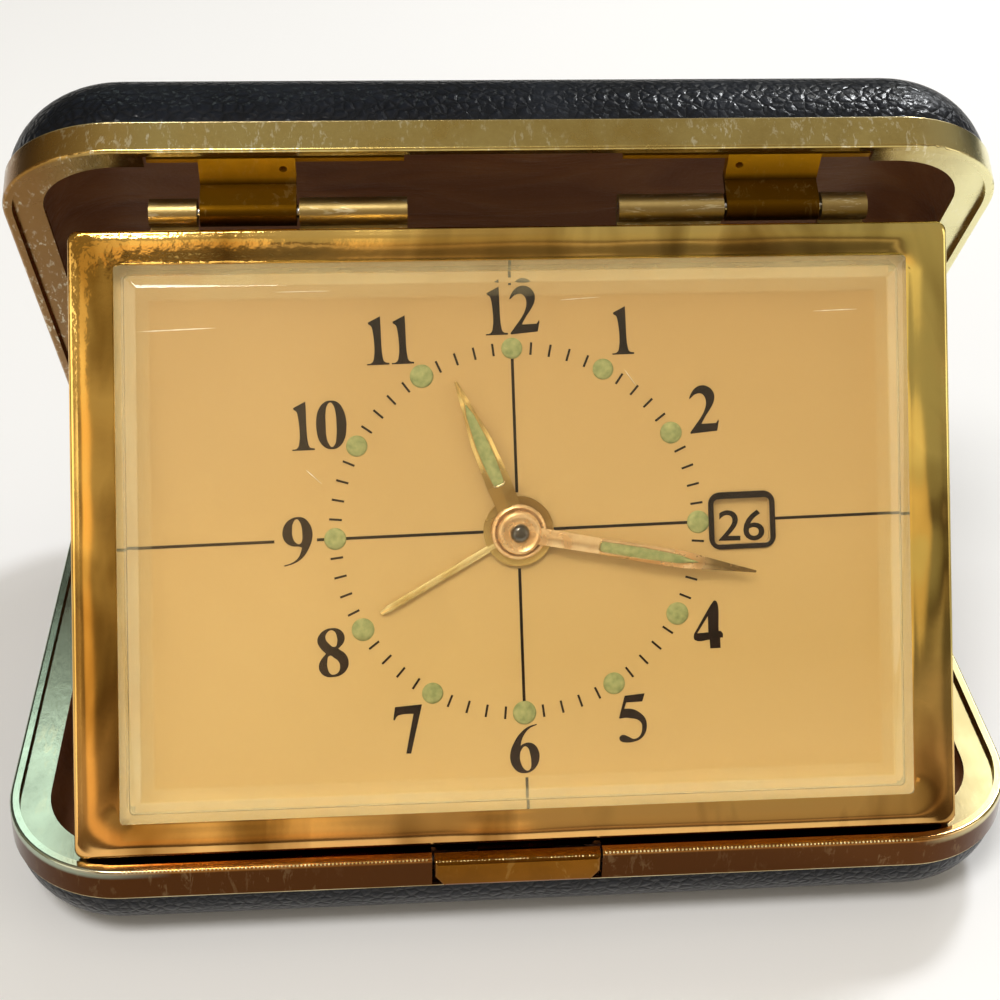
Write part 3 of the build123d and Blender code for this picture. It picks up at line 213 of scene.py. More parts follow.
leather, at, shader = new_finish("leather", Specular_IOR_Level=0.10, Coat_Weight=0.26, Coat_Roughness=0.09)
pebble = add(leather.node_tree, "ShaderNodeTexVoronoi", {"Vector": at, "Scale": 900.0, "Randomness": 1.0},
             feature="DISTANCE_TO_EDGE")
hide = mottling(at, 110.0, 5.0, 0.62)
pores = mottling(at, 1500.0, 3.0)
crease = levels(pebble.outputs["Distance"], (0.0, 0.0), (0.30, 1.0))
worn = levels(hide, (0.45, 0.0), (0.74, 1.0))
# Painted shade: the leather is darker in the creases of its grain.
dye_and_crease_shade = mix(crease, (0.002, 0.0025, 0.004), (0.005, 0.0065, 0.011))
relief = sums("ADD", sums("MULTIPLY", crease, 0.6), sums("MULTIPLY", pores, 0.8))


def raised(height, strength, depth):
    """Slope of a surface that is raised by a height of 0 to 1, the depth of its relief in metres."""
    return add(height.id_data, "ShaderNodeBump", {"Height": height, "Strength": strength,
                                                  "Distance": depth}).outputs["Normal"]


hide_slope = raised(relief, 0.7, 0.00016)
feed(shader, Base_Color=mix(sums("MULTIPLY", worn, 0.5), dye_and_crease_shade, (0.010, 0.013, 0.020)),
     Roughness=levels(hide, (0.3, 0.34), (0.7, 0.48)), Normal=hide_slope, Coat_Normal=hide_slope)
coat(leather, "base_shell", "lid_shell")


# ---- Brass bands ----
# A drawn brass band closes the mouth of each shell, with a bead where the halves meet and a flat lip
# turned inwards. The lid's is rubbed pale and finely scratched, with painted shade darkening and reddening
# its left end and a bright painted reflection on its right end. The base's is painted dark copper-brown in
# front as shade, with painted reflections on its lips at the sides. A thin bright edge ends each against the
# leather.
def along(at, axis, start, stop):
    """0 to 1 between two places along an axis, in metres."""
    way = add(at.id_data, "ShaderNodeSeparateXYZ", {0: at}).outputs[axis]
    return add(at.id_data, "ShaderNodeMapRange", {"Value": way, "From Min": start,
                                                  "From Max": stop}).outputs[0]


def drawn_out(at, scale, turn=(0.0, 0.0, 0.0)):
    """Place for a pattern that is finer along some ways than others."""
    return add(at.id_data, "ShaderNodeMapping", {"Vector": at, "Scale": scale, "Rotation": turn}).outputs[0]


def brass_finish(name, bright, dull, scratch_way, roughness=(0.16, 0.30), scratch_tone=(0.93, 0.86, 0.62),
                 rubbing=0.6, toned=None):
    """Worn metal: patches of tarnish, fine scratches that run along one way (x, y, z), and where toned
    is given, a colour that changes from place to place, used for painted shade and reflections."""
    finish, at, shader = new_finish(name, Metallic=1.0)
    patches = mottling(at, 90.0, 7.0, 0.65)
    lines = mottling(drawn_out(at, scratch_way, (0.35, 0.2, 0.45)), 1.0, 4.0, 0.75, 0.4)
    rubbed = sums("MULTIPLY", levels(lines, (0.56, 0.0), (0.62, 1.0)),
                  levels(patches, (0.40, 0.0), (0.66, rubbing)))
    tone = mix(levels(patches, (0.34, 0.0), (0.64, 1.0)), dull, bright)
    if toned:
        tone = toned(at, tone)
    relief = sums("ADD", sums("MULTIPLY", patches, 0.8), lines)
    feed(shader, Base_Color=mix(rubbed, tone, scratch_tone),
         Roughness=levels(patches, (0.35, roughness[1]), (0.65, roughness[0])),
         Normal=raised(relief, 0.30, 0.00005))
    return finish


LEFT_END, RIGHT_END = (-0.036, -0.050), (0.042, 0.051)


def lid_tones(at, tone):
    """Painted shade, darker and redder, at the left end, and a bright painted reflection at the right."""
    tone = mix(along(at, "X", *LEFT_END), tone, (0.30, 0.15, 0.030))
    return mix(along(at, "X", *RIGHT_END), tone, (0.90, 0.84, 0.46))


def base_tones(at, tone):
    """Painted shade, dark copper-brown, outside towards the front; painted reflections on the lip, silvery
    green at the left end and pale at the right.
    """
    # Painted shade: the outside of the band is dark copper-brown towards the front.
    front_shade = sums("MULTIPLY", along(at, "Z", 0.0113, 0.0109), along(at, "Y", 0.020, -0.020))
    tone = mix(front_shade, tone, (0.090, 0.032, 0.008))
    # Painted reflections on the lip: silvery green at the left end, pale at the right.
    for end, tint in ((LEFT_END, (0.44, 0.52, 0.40)), (RIGHT_END, (0.74, 0.66, 0.36))):
        lip = sums("MULTIPLY", along(at, "X", *end), along(at, "Z", 0.0104, 0.0108))
        tone = mix(lip, tone, tint)
    return tone


pale_brass = brass_finish("pale_brass", (0.64, 0.51, 0.19), (0.34, 0.23, 0.06), (1500.0, 700.0, 420.0),
                          (0.14, 0.30), (0.98, 0.93, 0.70), 0.85, lid_tones)
warm_brass = brass_finish("warm_brass", (0.56, 0.25, 0.055), (0.30, 0.105, 0.020), (900.0, 300.0, 300.0),
                          (0.11, 0.20), (0.70, 0.52, 0.26), 0.14, base_tones)
coat(pale_brass, "lid_rim")
coat(warm_brass, "base_rim")


def hang(name, mesh, place, finish, body, crisp=30.0):
    """Sets a finished mesh in its place on a body, with its finish. Edges past so many degrees stay
    crisp. A piece given no body rides on none."""
    mesh.name = name
    mesh.transform(place)
    mesh.materials.clear()
    mesh.materials.append(finish)
    mesh.shade_smooth()
    mesh.set_sharp_from_angle(angle=radians(crisp))
    piece = placed(name, mesh)
    if body:
        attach(piece, body)
    return piece


def round_corners(wide, high, radius, steps):
    """Outline of a rectangle with rounded corners, anticlockwise from its right side."""
    spots = []
    for k, (sx, sy) in enumerate(((1, 1), (-1, 1), (-1, -1), (1, -1))):
        x, y = sx * (wide / 2 - radius), sy * (high / 2 - radius)
        for n in range(steps + 1):
            a = pi / 2 * (k + n / steps)
            spots.append((x + radius * cos(a), y + radius * sin(a)))
    return spots


def loops_of(rings, steps):
    """Loops of (x, y, z) round rings of (width, height, corner radius, z)."""
    return [[(x, y, z) for x, y in round_corners(w, h, r, steps)] for w, h, r, z in rings]


def bridge(made, low, high):
    """Faces of a form between two like loops of points."""
    for k in range(len(low)):
        n = (k + 1) % len(low)
        made.faces.new((low[k], low[n], high[n], high[k]))


def finished(made, turn_out=True):
    """Plain mesh of a form, its faces turned outwards."""
    if turn_out:
        bmesh.ops.recalc_face_normals(made, faces=made.faces)
    mesh = bpy.data.meshes.new("form")
    made.to_mesh(mesh)
    made.free()
    return mesh


def lofted(loops, ring=False):
    """Form through like loops of (x, y, z), the last joined to the first, or both capped."""
    made = bmesh.new()
    rows = [[made.verts.new(point) for point in loop] for loop in loops]
    for low, high in zip(rows, rows[1:] + rows[:1] * ring):
        bridge(made, low, high)
    if not ring:
        made.faces.new(rows[0])
        made.faces.new(rows[-1])
    return finished(made)


CASE_W, CASE_D, CASE_R = 108.4, 78.0, 13.0
BASE_H, LID_H, BAND_H, PARTING_GAP = 11.4, 13.0, 3.5, 0.2
LID_OPEN = 54.6016
lid_hinge = next(j for j in frame["joints"] if j["name"] == "lid_hinge")
in_case = Matrix.Scale(MM, 4)
hinge_line = Vector(lid_hinge["pos_m"])
in_lid = (Matrix.Translation(hinge_line) @ Matrix.Rotation(radians(-LID_OPEN), 4, "X")
          @ Matrix.Translation(-hinge_line) @ in_case
          @ Matrix.Translation((0, 0, BASE_H + PARTING_GAP + LID_H)) @ Matrix.Diagonal((1, 1, -1, 1)))


def hoop(inset, z, thick):
    """Thin round wire that follows the case, this far inside the bands' face."""
    around = [(inset - thick * cos(pi * k / 4), z + thick * sin(pi * k / 4)) for k in range(8)]
    rings = [(CASE_W - 2 * d, CASE_D - 2 * d, CASE_R - d, h) for d, h in around]
    return lofted(loops_of(rings, 24), ring=True)


turned_edge = brass_finish("turned_edge", (0.90, 0.78, 0.46), (0.40, 0.28, 0.10), (1600.0, 1600.0, 1600.0),
                           (0.14, 0.26))
EDGE_IN, EDGE_BELOW, EDGE_THICK = 0.20, 0.06, 0.17
for name, place, height, body in (("lid_band_edge", in_lid, LID_H, "lid"),
                                  ("base_band_edge", in_case, BASE_H, "base")):
    edge = hoop(EDGE_IN, height - BAND_H - EDGE_BELOW, EDGE_THICK)
    if place is in_lid:
        edge.flip_normals()
    hang(name, edge, place, turned_edge, body, 60)


# ---- Linings ----
# Each tray is lined with thin plum-brown satin paper, cut to the inside of the shell, glued down, and
# a little wrinkled where it has come loose.
satin, at, shader = new_finish("plum_satin", Sheen_Weight=0.25, Sheen_Roughness=0.4)
folds_and_shade = mottling(drawn_out(at, (60.0, 150.0, 220.0), (0.3, 0.2, 0.5)), 1.0, 4.0, distortion=0.6)
weave = mottling(at, 2500.0, 1.0)
relief = sums("ADD", folds_and_shade, sums("MULTIPLY", weave, 0.05))
# Painted shade: the satin is darker in the hollows of its wrinkles and lighter on their crests.
feed(shader, Base_Color=ramp(folds_and_shade, (0.30, (0.24, 0.10, 0.052)), (0.55, (0.34, 0.16, 0.082)),
                             (0.75, (0.43, 0.235, 0.13))),
     Roughness=levels(weave, (0.3, 0.42), (0.7, 0.58)), Normal=raised(relief, 0.7, 0.0009))
coat(satin, "base_lining", "lid_lining")


# ---- Hinges and latch ----
# The two halves turn on a five-knuckle rear hinge; the clock hangs from two three-knuckle hinges with
# brighter, folded strip on the lid. A push piece in the front band draws the catch, against a leaf
# spring. Fine beads are rolled along its top edge and the band's.
def foot_dark(at, tone):
    """The folded foot of the strip is painted dark, as shade."""
    return mix(along(at, "Z", 0.0722, 0.0712), tone, (0.070, 0.03, 0.001))


strip_brass = brass_finish("strip_brass", (0.62, 0.31, 0.010), (0.40, 0.19, 0.005), (900.0, 900.0, 160.0),
                           (0.40, 0.55), (0.90, 0.70, 0.30), 0.08, foot_dark)
knuckle_brass = brass_finish("knuckle_brass", (0.36, 0.26, 0.10), (0.22, 0.15, 0.05), (200.0, 1400.0, 1400.0),
                             (0.34, 0.50))
steel_finish = brass_finish("bright_steel", (0.56, 0.57, 0.58), (0.36, 0.36, 0.36), (700.0, 700.0, 250.0),
                            (0.20, 0.34), (0.80, 0.80, 0.80))
coat(knuckle_brass, "base_hinge_leaf", "lid_hinge_leaf", "left_clock_leaf", "right_clock_leaf")
coat(strip_brass, "left_hinge_plate", "right_hinge_plate")
coat(steel_finish, "rear_hinge_pin", "left_hinge_pin", "right_hinge_pin")


def joined(*meshes):
    """One mesh of several."""
    whole = bmesh.new()
    for mesh in meshes:
        whole.from_mesh(mesh)
    return finished(whole, turn_out=False)


def bar(*sides):
    """Rectangular bar between its (low, high) in x, y and z."""
    made = bmesh.new()
    bmesh.ops.create_cube(made, size=1.0)
    middle, size = [(low + high) / 2 for low, high in sides], [high - low for low, high in sides]
    made.transform(Matrix.Translation(middle) @ Matrix.Diagonal(size).to_4x4())
    return finished(made, turn_out=False)


def as_mesh(shape):
    """Plain mesh of a curve, a text or a grown object, which is then taken away."""
    bpy.context.scene.collection.objects.link(shape)
    held = shape.evaluated_get(bpy.context.evaluated_depsgraph_get())
    mesh = bpy.data.meshes.new_from_object(held)
    bpy.data.objects.remove(shape)
    return mesh


def grow(name, lay_out, piece, **sizes):
    """Repeats a piece by a node tree that has these named inputs, and returns a plain mesh."""
    sizes["Piece"] = bpy.data.objects.new("repeated", piece)
    tree = bpy.data.node_groups.new(name, "GeometryNodeTree")
    kinds = {int: "NodeSocketInt", float: "NodeSocketFloat", bpy.types.Object: "NodeSocketObject",
             bpy.types.Material: "NodeSocketMaterial", tuple: "NodeSocketVector"}
    for key, value in sizes.items():
        tree.interface.new_socket(key, in_out="INPUT", socket_type=kinds[type(value)])
    tree.interface.new_socket("Mesh", in_out="OUTPUT", socket_type="NodeSocketGeometry")
    inlet = add(tree, "NodeGroupInput").outputs
    real = add(tree, "GeometryNodeRealizeInstances", {0: lay_out(tree, inlet)})
    made = add(tree, "GeometryNodeSetMaterial", {"Geometry": real.outputs[0], "Material": inlet["Finish"]})
    add(tree, "NodeGroupOutput", {0: made.outputs[0]})
    grown = bpy.data.objects.new(name, bpy.data.meshes.new(name))
    modifier = grown.modifiers.new(name, "NODES")
    modifier.node_group = tree
    for socket in tree.interface.items_tree:
        if socket.in_out == "INPUT":
            modifier[socket.identifier] = sizes[socket.name]
    mesh = as_mesh(grown)
    bpy.data.objects.remove(sizes["Piece"])
    return mesh


def lathed(profile, steps=48):
    """Turned ring or disc: (radius, height) points round the upright axis. A closed run of them makes
    a ring; a run that starts and ends on the axis makes a closed form."""
    made = bmesh.new()
    whole = profile[0][0] > 0
    rows = []
    for radius, z in profile:
        if radius <= 0:
            rows.append([made.verts.new((0, 0, z))])
        else:
            rows.append([made.verts.new((radius * cos(a), radius * sin(a), z))
                         for a in (2 * pi * k / steps for k in range(steps))])
    pairs = list(zip(rows, rows[1:])) + ([(rows[-1], rows[0])] if whole else [])
    for low, high in pairs:
        for k in range(steps):
            n = (k + 1) % steps
            corners = [low[k % len(low)], low[n % len(low)], high[n % len(high)], high[k % len(high)]]
            made.faces.new(list(dict.fromkeys(corners)))
    return finished(made)


def varied_size(tree, inlet):
    """A size for each piece, a little above or below one."""
    low, high = (sums(way, 1.0, inlet["Vary"]) for way in ("SUBTRACT", "ADD"))
    return add(tree, "FunctionNodeRandomValue", {2: low, 3: high, 8: inlet["Seed"]}).outputs[1]


def shape_of(tree, inlet):
    """The piece that a tree repeats."""
    return add(tree, "GeometryNodeObjectInfo", {0: inlet["Piece"]}).outputs["Geometry"]


def along_row(tree, inlet):
    """A piece repeated along a straight row, each a little different in size."""
    places = add(tree, "GeometryNodeMeshLine", {"Count": inlet["Count"], "Start Location": inlet["First"],
                                                "Offset": inlet["Step"]})
    return add(tree, "GeometryNodeInstanceOnPoints", {
        "Points": places.outputs[0], "Scale": varied_size(tree, inlet),
        "Instance": shape_of(tree, inlet)}).outputs[0]


BUTTON_X, BUTTON_HALF, BUTTON_LOW, BUTTON_HIGH = -0.8, 8.6, 8.1, 11.35
BUTTON_FRONT, BUTTON_BACK = -39.5, -38.02
CORNER_IN, CORNER_UP = 0.9, 1.2
press_brass = brass_finish("press_brass", (0.27, 0.105, 0.009), (0.17, 0.065, 0.004), (500.0, 500.0, 200.0),
                           (0.14, 0.26), (0.55, 0.36, 0.10), 0.3)


def press_outline(inset, y):
    """Front outline of the push piece, its lower corners cut off."""
    half, low, high = BUTTON_HALF - inset, BUTTON_LOW + inset, BUTTON_HIGH - inset
    return [(BUTTON_X + x, y, z) for x, z in (
        (-half, high), (half, high), (half, low + CORNER_UP), (half - CORNER_IN, low),
        (CORNER_IN - half, low), (-half, low + CORNER_UP))]


# Its front edge is rounded over, and a stem on its back reaches the catch.
press = lofted([press_outline(0.0, BUTTON_BACK), press_outline(0.0, BUTTON_FRONT + 0.34),
                press_outline(0.10, BUTTON_FRONT + 0.12), press_outline(0.34, BUTTON_FRONT)])
STEM_HALF, STEM_DEEP, STEM_TALL = 4.0, (-38.1, -35.7), (8.3, 9.8)
stem = bar((BUTTON_X - STEM_HALF, BUTTON_X + STEM_HALF), STEM_DEEP, STEM_TALL)
press_piece = hang("press_piece", joined(press, stem), in_case, press_brass, "latch", 20)
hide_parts("latch_button")

# The leaf spring behind the stem: its ends are against the shell and its middle against the back of the stem.
SPRING_MIDDLE, SPRING_ENDS, SPRING_THICK = -35.7, -36.80, 0.25
SPRING_HALF, SPRING_FLAT, SPRING_LOW, SPRING_HIGH, SPRING_STEPS = 9.0, 5.0, 8.4, 9.7, 24
bends = []
for k in range(SPRING_STEPS + 1):
    x = 2 * SPRING_HALF * k / SPRING_STEPS - SPRING_HALF
    over = max(0.0, (abs(x) - SPRING_FLAT) / (SPRING_HALF - SPRING_FLAT))
    y = SPRING_MIDDLE + (SPRING_ENDS - SPRING_MIDDLE) * over * over * (3 - 2 * over)
    bends.append([(BUTTON_X + x, y + thick, z) for thick, z in (
        (0.0, SPRING_LOW), (SPRING_THICK, SPRING_LOW), (SPRING_THICK, SPRING_HIGH), (0.0, SPRING_HIGH))])
latch_leaf = hang("latch_leaf_spring", lofted(bends), in_case, steel_finish, None)
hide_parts("latch_spring")
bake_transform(latch_leaf)


def bead(radius):
    """Small ball with few faces, to be repeated."""
    around = [(radius * cos(a), radius * sin(a)) for a in (radians(d) for d in (-55, -20, 20, 55))]
    return lathed([(0.0, -radius)] + around + [(0.0, radius)], 8)


def bead_row(name, first, pitch, count, radius, seed):
    """Row of beads that runs to the right from its first."""
    return grow(name, along_row, bead(radius), Count=count, First=first, Step=(pitch, 0.0, 0.0), Vary=0.12,
                Seed=seed, Finish=turned_edge)


knurl = joined(bead_row("upper_knurl", (-9.2, -39.18, 11.19), 0.36, 47, 0.16, 3),
               bead_row("lower_knurl", (-9.02, -39.34, 10.92), 0.36, 46, 0.15, 4))
hang("press_knurl", knurl, in_case, turned_edge, "latch", 60)
rows = joined(bead_row("left_beads", (-41.0, -38.85, 11.25), 0.40, 78, 0.15, 5),
              bead_row("right_beads", (8.4, -38.85, 11.25), 0.40, 82, 0.15, 6))
hang("band_beads", rows, in_case, turned_edge, "base", 60)


# ---- Bezel ----
# A heavy gilt frame, cast and polished, with softly rounded edges. Its colour is coppery towards the
# left, darker and coppery towards the foot, paler and greener on the right, and darker in long streaks:
# partly the gilding's own uneven tone and partly painted shade and reflection.
gilt, at, shader = new_finish("gilt", Metallic=1.0)
cloud = mottling(at, 42.0, 5.0, 0.6)
cloud_swing = sums("SUBTRACT", cloud, 0.5)
rightward = sums("ADD", along(at, "X", -0.046, 0.046), sums("MULTIPLY", cloud_swing, 1.1))
side_tone = ramp(rightward, (0.0, (0.98, 0.60, 0.15)), (0.30, (0.94, 0.62, 0.18)),
                 (0.7, (0.84, 0.62, 0.20)), (1.0, (0.74, 0.60, 0.20)))
# Painted shade: the gilt is darker and coppery towards the foot.
off_foot = sums("ADD", along(at, "Z", 0.010, 0.030), sums("MULTIPLY", cloud_swing, 0.8))
tone_with_painted_shade = mix(off_foot, (0.74, 0.40, 0.13), side_tone)
streaks = mottling(drawn_out(at, (95.0, 40.0, 40.0)), 1.0, 3.0, distortion=0.7)
darker = ramp(streaks, (0.34, (0.42, 0.36, 0.26)), (0.56, (1.0, 1.0, 1.0)))
gild = add(gilt.node_tree, "ShaderNodeMix", {0: 1.0, 6: tone_with_painted_shade, 7: darker}, data_type="RGBA",
           blend_type="MULTIPLY")
swell = mottling(at, 40.0, 1.0, distortion=0.5)
peel = mottling(at, 1100.0)
peeling = sums("MULTIPLY", along(at, "X", -0.012, -0.040), along(at, "Z", 0.052, 0.066))
peel_high = sums("MULTIPLY_ADD", peeling, 0.05, 0.002)
relief = sums("ADD", swell, sums("MULTIPLY", peel, peel_high))
feed(shader, Base_Color=gild.outputs[2], Roughness=levels(cloud, (0.3, 0.17), (0.7, 0.08)),
     Normal=raised(relief, 1.0, 0.0013))

spindle = next(j for j in frame["joints"] if j["name"] == "minute_spin")
face_out = -Vector(spindle["axis"]).normalized()
face_right = Vector((1.0, 0.0, 0.0))
face_up = face_out.cross(face_right)
on_dial = Matrix.Translation(spindle["pos_m"]) @ Matrix((face_right, face_up, face_out)).transposed().to_4x4()
on_dial = on_dial @ Matrix.Scale(MM, 4)

BEZEL_W, BEZEL_H = 92.0, 64.0
SIDE_RAIL, END_RAIL = 4.65, 3.5


def rail(share, z):
    """Ring of the frame this share of the way from its outer edge to its opening."""
    radius = 1.1 + 4.6 * share * (1 - share) ** 0.8 * 1.8 if share < 0.97 else 0.4
    return (BEZEL_W - 2 * SIDE_RAIL * share, BEZEL_H - 2 * END_RAIL * share, min(radius, 3.0), z)


# The outer edge is rounded, and the rail swells a little before it falls towards the glass.
rounding = [rail(0.11 * (1 - cos(a)), 2.40 + 0.48 * sin(a)) for a in (pi / 2 * k / 8 for k in range(9))]
CROWN_FROM, CROWN_Z = 0.13, 2.90
crown = [rail(CROWN_FROM + share, CROWN_Z + rise) for share, rise in (
    (0.06, 0.05), (0.12, 0.085), (0.18, 0.10), (0.26, 0.09), (0.36, 0.055), (0.46, 0.0), (0.56, -0.07),
    (0.66, -0.15), (0.76, -0.22), (0.84, -0.26))]
bezel_rings = [rail(0.0, 1.0)] + rounding + crown + [rail(0.985, 2.62), rail(1.0, 2.54), rail(1.0, 1.0)]
bezel_form = lofted(loops_of(bezel_rings, 12), ring=True)
bezel_frame = hang("bezel_frame", bezel_form, on_dial, gilt, "clock", 40)
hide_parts("bezel")


# ---- Crystal ----
# The glass is one moulding of clear plastic with sloping edges, held by a foot under the bezel. It is
# faintly warm with age and has a few fine scratches on top. A patchy cream colour is painted on its
# sloping edges, and more weakly just inside them, as the light reflected in them.
GLASS_GAP, GLASS_TOP, BEVEL_IN, BEVEL_DOWN = 0.06, 4.5, 2.3, 1.0
glass_w, glass_h = BEZEL_W - 2 * SIDE_RAIL - 2 * GLASS_GAP, BEZEL_H - 2 * END_RAIL - 2 * GLASS_GAP
clear, at, shader = new_finish("crystal_clear")
tree = clear.node_tree
tree.nodes.remove(shader)
plastic = add(tree, "ShaderNodeBsdfGlass", {"Color": (0.985, 0.975, 0.94, 1.0), "Roughness": 0.0, "IOR": 1.49,
                                            "Normal": raised(mottling(at, 160.0), 0.15, 0.00004)})

# Where a point lies across the glass, laid flat, and how far it is past the start of the sloping edge.
laid_flat = add(tree, "ShaderNodeVectorRotate", {
    "Vector": at, "Center": spindle["pos_m"], "Axis": (1.0, 0.0, 0.0),
    "Angle": -face_out.angle(Vector((0.0, 0.0, 1.0)))}, rotation_type="AXIS_ANGLE")
across = add(tree, "ShaderNodeSeparateXYZ", {0: laid_flat.outputs[0]}).outputs
up = sums("SUBTRACT", across["Y"], spindle["pos_m"][1])
past_x, past_y = (sums("SUBTRACT", sums("ABSOLUTE", place), (size / 2 - BEVEL_IN) * MM)
                  for place, size in ((across["X"], glass_w), (up, glass_h)))
near_edge = add(tree, "ShaderNodeMapRange", {"Value": sums("MAXIMUM", past_x, past_y),
                                             "From Min": -1.5 * MM, "From Max": 1.5 * MM})
# Painted reflection: a patchy cream colour on the sloping edges, weaker just inside them.
on_edge = levels(near_edge.outputs[0], (0.0, 0.0), (0.12, 0.30), (0.48, 0.40), (0.52, 1.0))
reflection_patches = levels(mottling(at, 130.0, 4.0), (0.35, 0.10), (0.7, 0.24))
edge_reflection_paint = add(tree, "ShaderNodeBsdfDiffuse", {"Color": (0.85, 0.74, 0.40, 1.0)})
glass_and_edge_reflection = add(tree, "ShaderNodeMixShader", {0: sums("MULTIPLY", on_edge, reflection_patches), 1: plastic.outputs[0],
                                          2: edge_reflection_paint.outputs[0]})

# Lamps shine straight through to the dial.
lamp_way = add(tree, "ShaderNodeBsdfTransparent", {"Color": (0.96, 0.95, 0.91, 1.0)})
path = add(tree, "ShaderNodeLightPath").outputs
surface = add(tree, "ShaderNodeMixShader", {0: path["Is Shadow Ray"], 1: glass_and_edge_reflection.outputs[0],
                                            2: lamp_way.outputs[0]})
tree.links.new(surface.outputs[0], tree.nodes["Material Output"].inputs["Surface"])

GLASS_CORNER, GLASS_MIDDLE = 0.34, 12.0
SIDE_THICK, TOP_THICK = 1.1, 1.0
FOOT_CORNER, FOOT_LOW, FOOT_HIGH = 0.4, 0.30, 0.85


def pane(inset, z):
    """Ring of the glass, this far inside its outline."""
    return (glass_w - 2 * inset, glass_h - 2 * inset, GLASS_CORNER, z)


foot_w, foot_h = BEZEL_W - 2 * SIDE_RAIL + 1.7, BEZEL_H - 2 * END_RAIL + 0.7
slope = BEVEL_DOWN / BEVEL_IN
shoulder, ceiling = GLASS_TOP - BEVEL_DOWN, GLASS_TOP - TOP_THICK
glass_rings = [(foot_w, foot_h, FOOT_CORNER, FOOT_LOW), (foot_w, foot_h, FOOT_CORNER, FOOT_HIGH),
               pane(0.0, FOOT_HIGH), pane(0.0, shoulder - 0.10), pane(0.03, shoulder - 0.02),
               pane(0.10, shoulder + 0.10 * slope), pane(BEVEL_IN - 0.08, GLASS_TOP - 0.08 * slope),
               pane(BEVEL_IN - 0.03, GLASS_TOP - 0.018), pane(BEVEL_IN + 0.03, GLASS_TOP - 0.003),
               pane(BEVEL_IN + 0.08, GLASS_TOP), pane(BEVEL_IN + 0.2, GLASS_TOP),
               pane(BEVEL_IN + GLASS_MIDDLE, GLASS_TOP)]
inside_rings = [pane(SIDE_THICK, FOOT_LOW), pane(SIDE_THICK, GLASS_TOP - 1.25), pane(1.18, GLASS_TOP - 1.06),
                pane(1.35, ceiling), pane(1.5, ceiling), pane(BEVEL_IN + GLASS_MIDDLE, ceiling)]


def shell_of(outer, inner):
    """Cover with a closed top, between an outer and an inner run of loops that share a rim."""
    made = bmesh.new()
    rows, under = ([[made.verts.new(point) for point in loop] for loop in run] for run in (outer, inner))
    for low, high in list(zip(rows, rows[1:])) + list(zip(under, under[1:])) + [(rows[0], under[0])]:
        bridge(made, low, high)
    made.faces.new(rows[-1])
    made.faces.new(under[-1])
    return finished(made)


scratch_haze, at, shader = new_finish("scratch_haze", Roughness=0.6)
feed(shader, Base_Color=ramp(mottling(at, 900.0), (0.3, (0.60, 0.50, 0.34)), (0.7, (0.95, 0.90, 0.74))))
# Each scratch: where it starts and ends on the glass, and half its width.
SCRATCHES = ((-38.8, 21.68, -30.9, 21.95, 0.05), (30.95, 22.7, 35.65, 22.84, 0.045),
             (4.35, 24.26, 8.52, 24.51, 0.03), (-24.9, 25.5, -19.3, 25.54, 0.035),
             (-21.98, 7.3, -20.4, 5.85, 0.03), (11.0, 16.9, 12.2, 15.2, 0.03))
SCRATCH_Z, SCRATCH_HIGH = 4.48, 0.028
slivers = []
for x0, y0, x1, y1, half in SCRATCHES:
    way = Vector((x1 - x0, y1 - y0))
    long = way.length / 2
    stations = ((-long, 0.1, 0.75), (-long * 0.6, 1, 1), (long * 0.6, 1, 1), (long, 0.1, 0.75))
    sliver = lofted([[(x, y * half * wide, SCRATCH_Z + z * high) for y, z in (
        (-1, 0), (1, 0), (0, SCRATCH_HIGH))] for x, wide, high in stations])
    sliver.transform(Matrix.Translation(((x0 + x1) / 2, (y0 + y1) / 2, 0))
                     @ Matrix.Rotation(way.angle_signed(Vector((1, 0))), 4, "Z"))
    slivers.append(sliver)
hang("glass_scratches", joined(*slivers), on_dial, scratch_haze, "clock", 60)

cover = shell_of(loops_of(glass_rings, 6), loops_of(inside_rings, 6))
crystal_cover = hang("crystal_cover", cover, on_dial, clear, "clock", 20)
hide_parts("crystal")


# ---- Dial ----
# The dial is a thin brass plate sprayed in satin champagne, with painted shade making it darker towards
# the top. Its lines and numbers are printed in thick dark brown, very slightly askew to the frame.
PRINT_ASKEW = 1.2
on_print = on_dial @ Matrix.Rotation(radians(PRINT_ASKEW), 4, "Z")

champagne, at, shader = new_finish("champagne_paint", Specular_IOR_Level=0.35)
fade = levels(mottling(at, 22.0, 3.0), (0.3, 0.0), (0.7, 0.35))
grain = mottling(at, 5200.0)
# Painted shade: the paint is darker towards the top of the dial.
tone = mix(along(at, "Z", 0.010, 0.066), (0.56, 0.385, 0.145), (0.43, 0.265, 0.095))
feed(shader, Base_Color=mix(fade, tone, (0.42, 0.262, 0.09)),
     Roughness=levels(grain, (0.3, 0.42), (0.7, 0.52)), Normal=raised(grain, 0.25, 0.00002))
coat(champagne, "dial", "date_ring")

ink, at, shader = new_finish("dial_ink", Specular_IOR_Level=0.12)
print_wear = mottling(at, 900.0, 3.0)
feed(shader, Base_Color=ramp(print_wear, (0.35, (0.004, 0.002, 0.001)), (0.75, (0.016, 0.006, 0.003))),
     Roughness=levels(print_wear, (0.3, 0.35), (0.7, 0.5)))

INK_Z = (-0.01, 0.035)
LINE_HALF = 0.155
cross_lines = [bar((a, b), (-LINE_HALF, LINE_HALF), INK_Z) for a, b in
               ((-43.0, -25.5), (-21.1, 20.3), (27.5, 43.0))]
cross_lines += [bar((-LINE_HALF, LINE_HALF), span, INK_Z) for span in
                ((25.86, 29.1), (4.0, 20.1), (-20.1, -4.0), (-29.1, -26.0))]
hang("dial_cross_lines", joined(*cross_lines), on_print, ink, "clock")

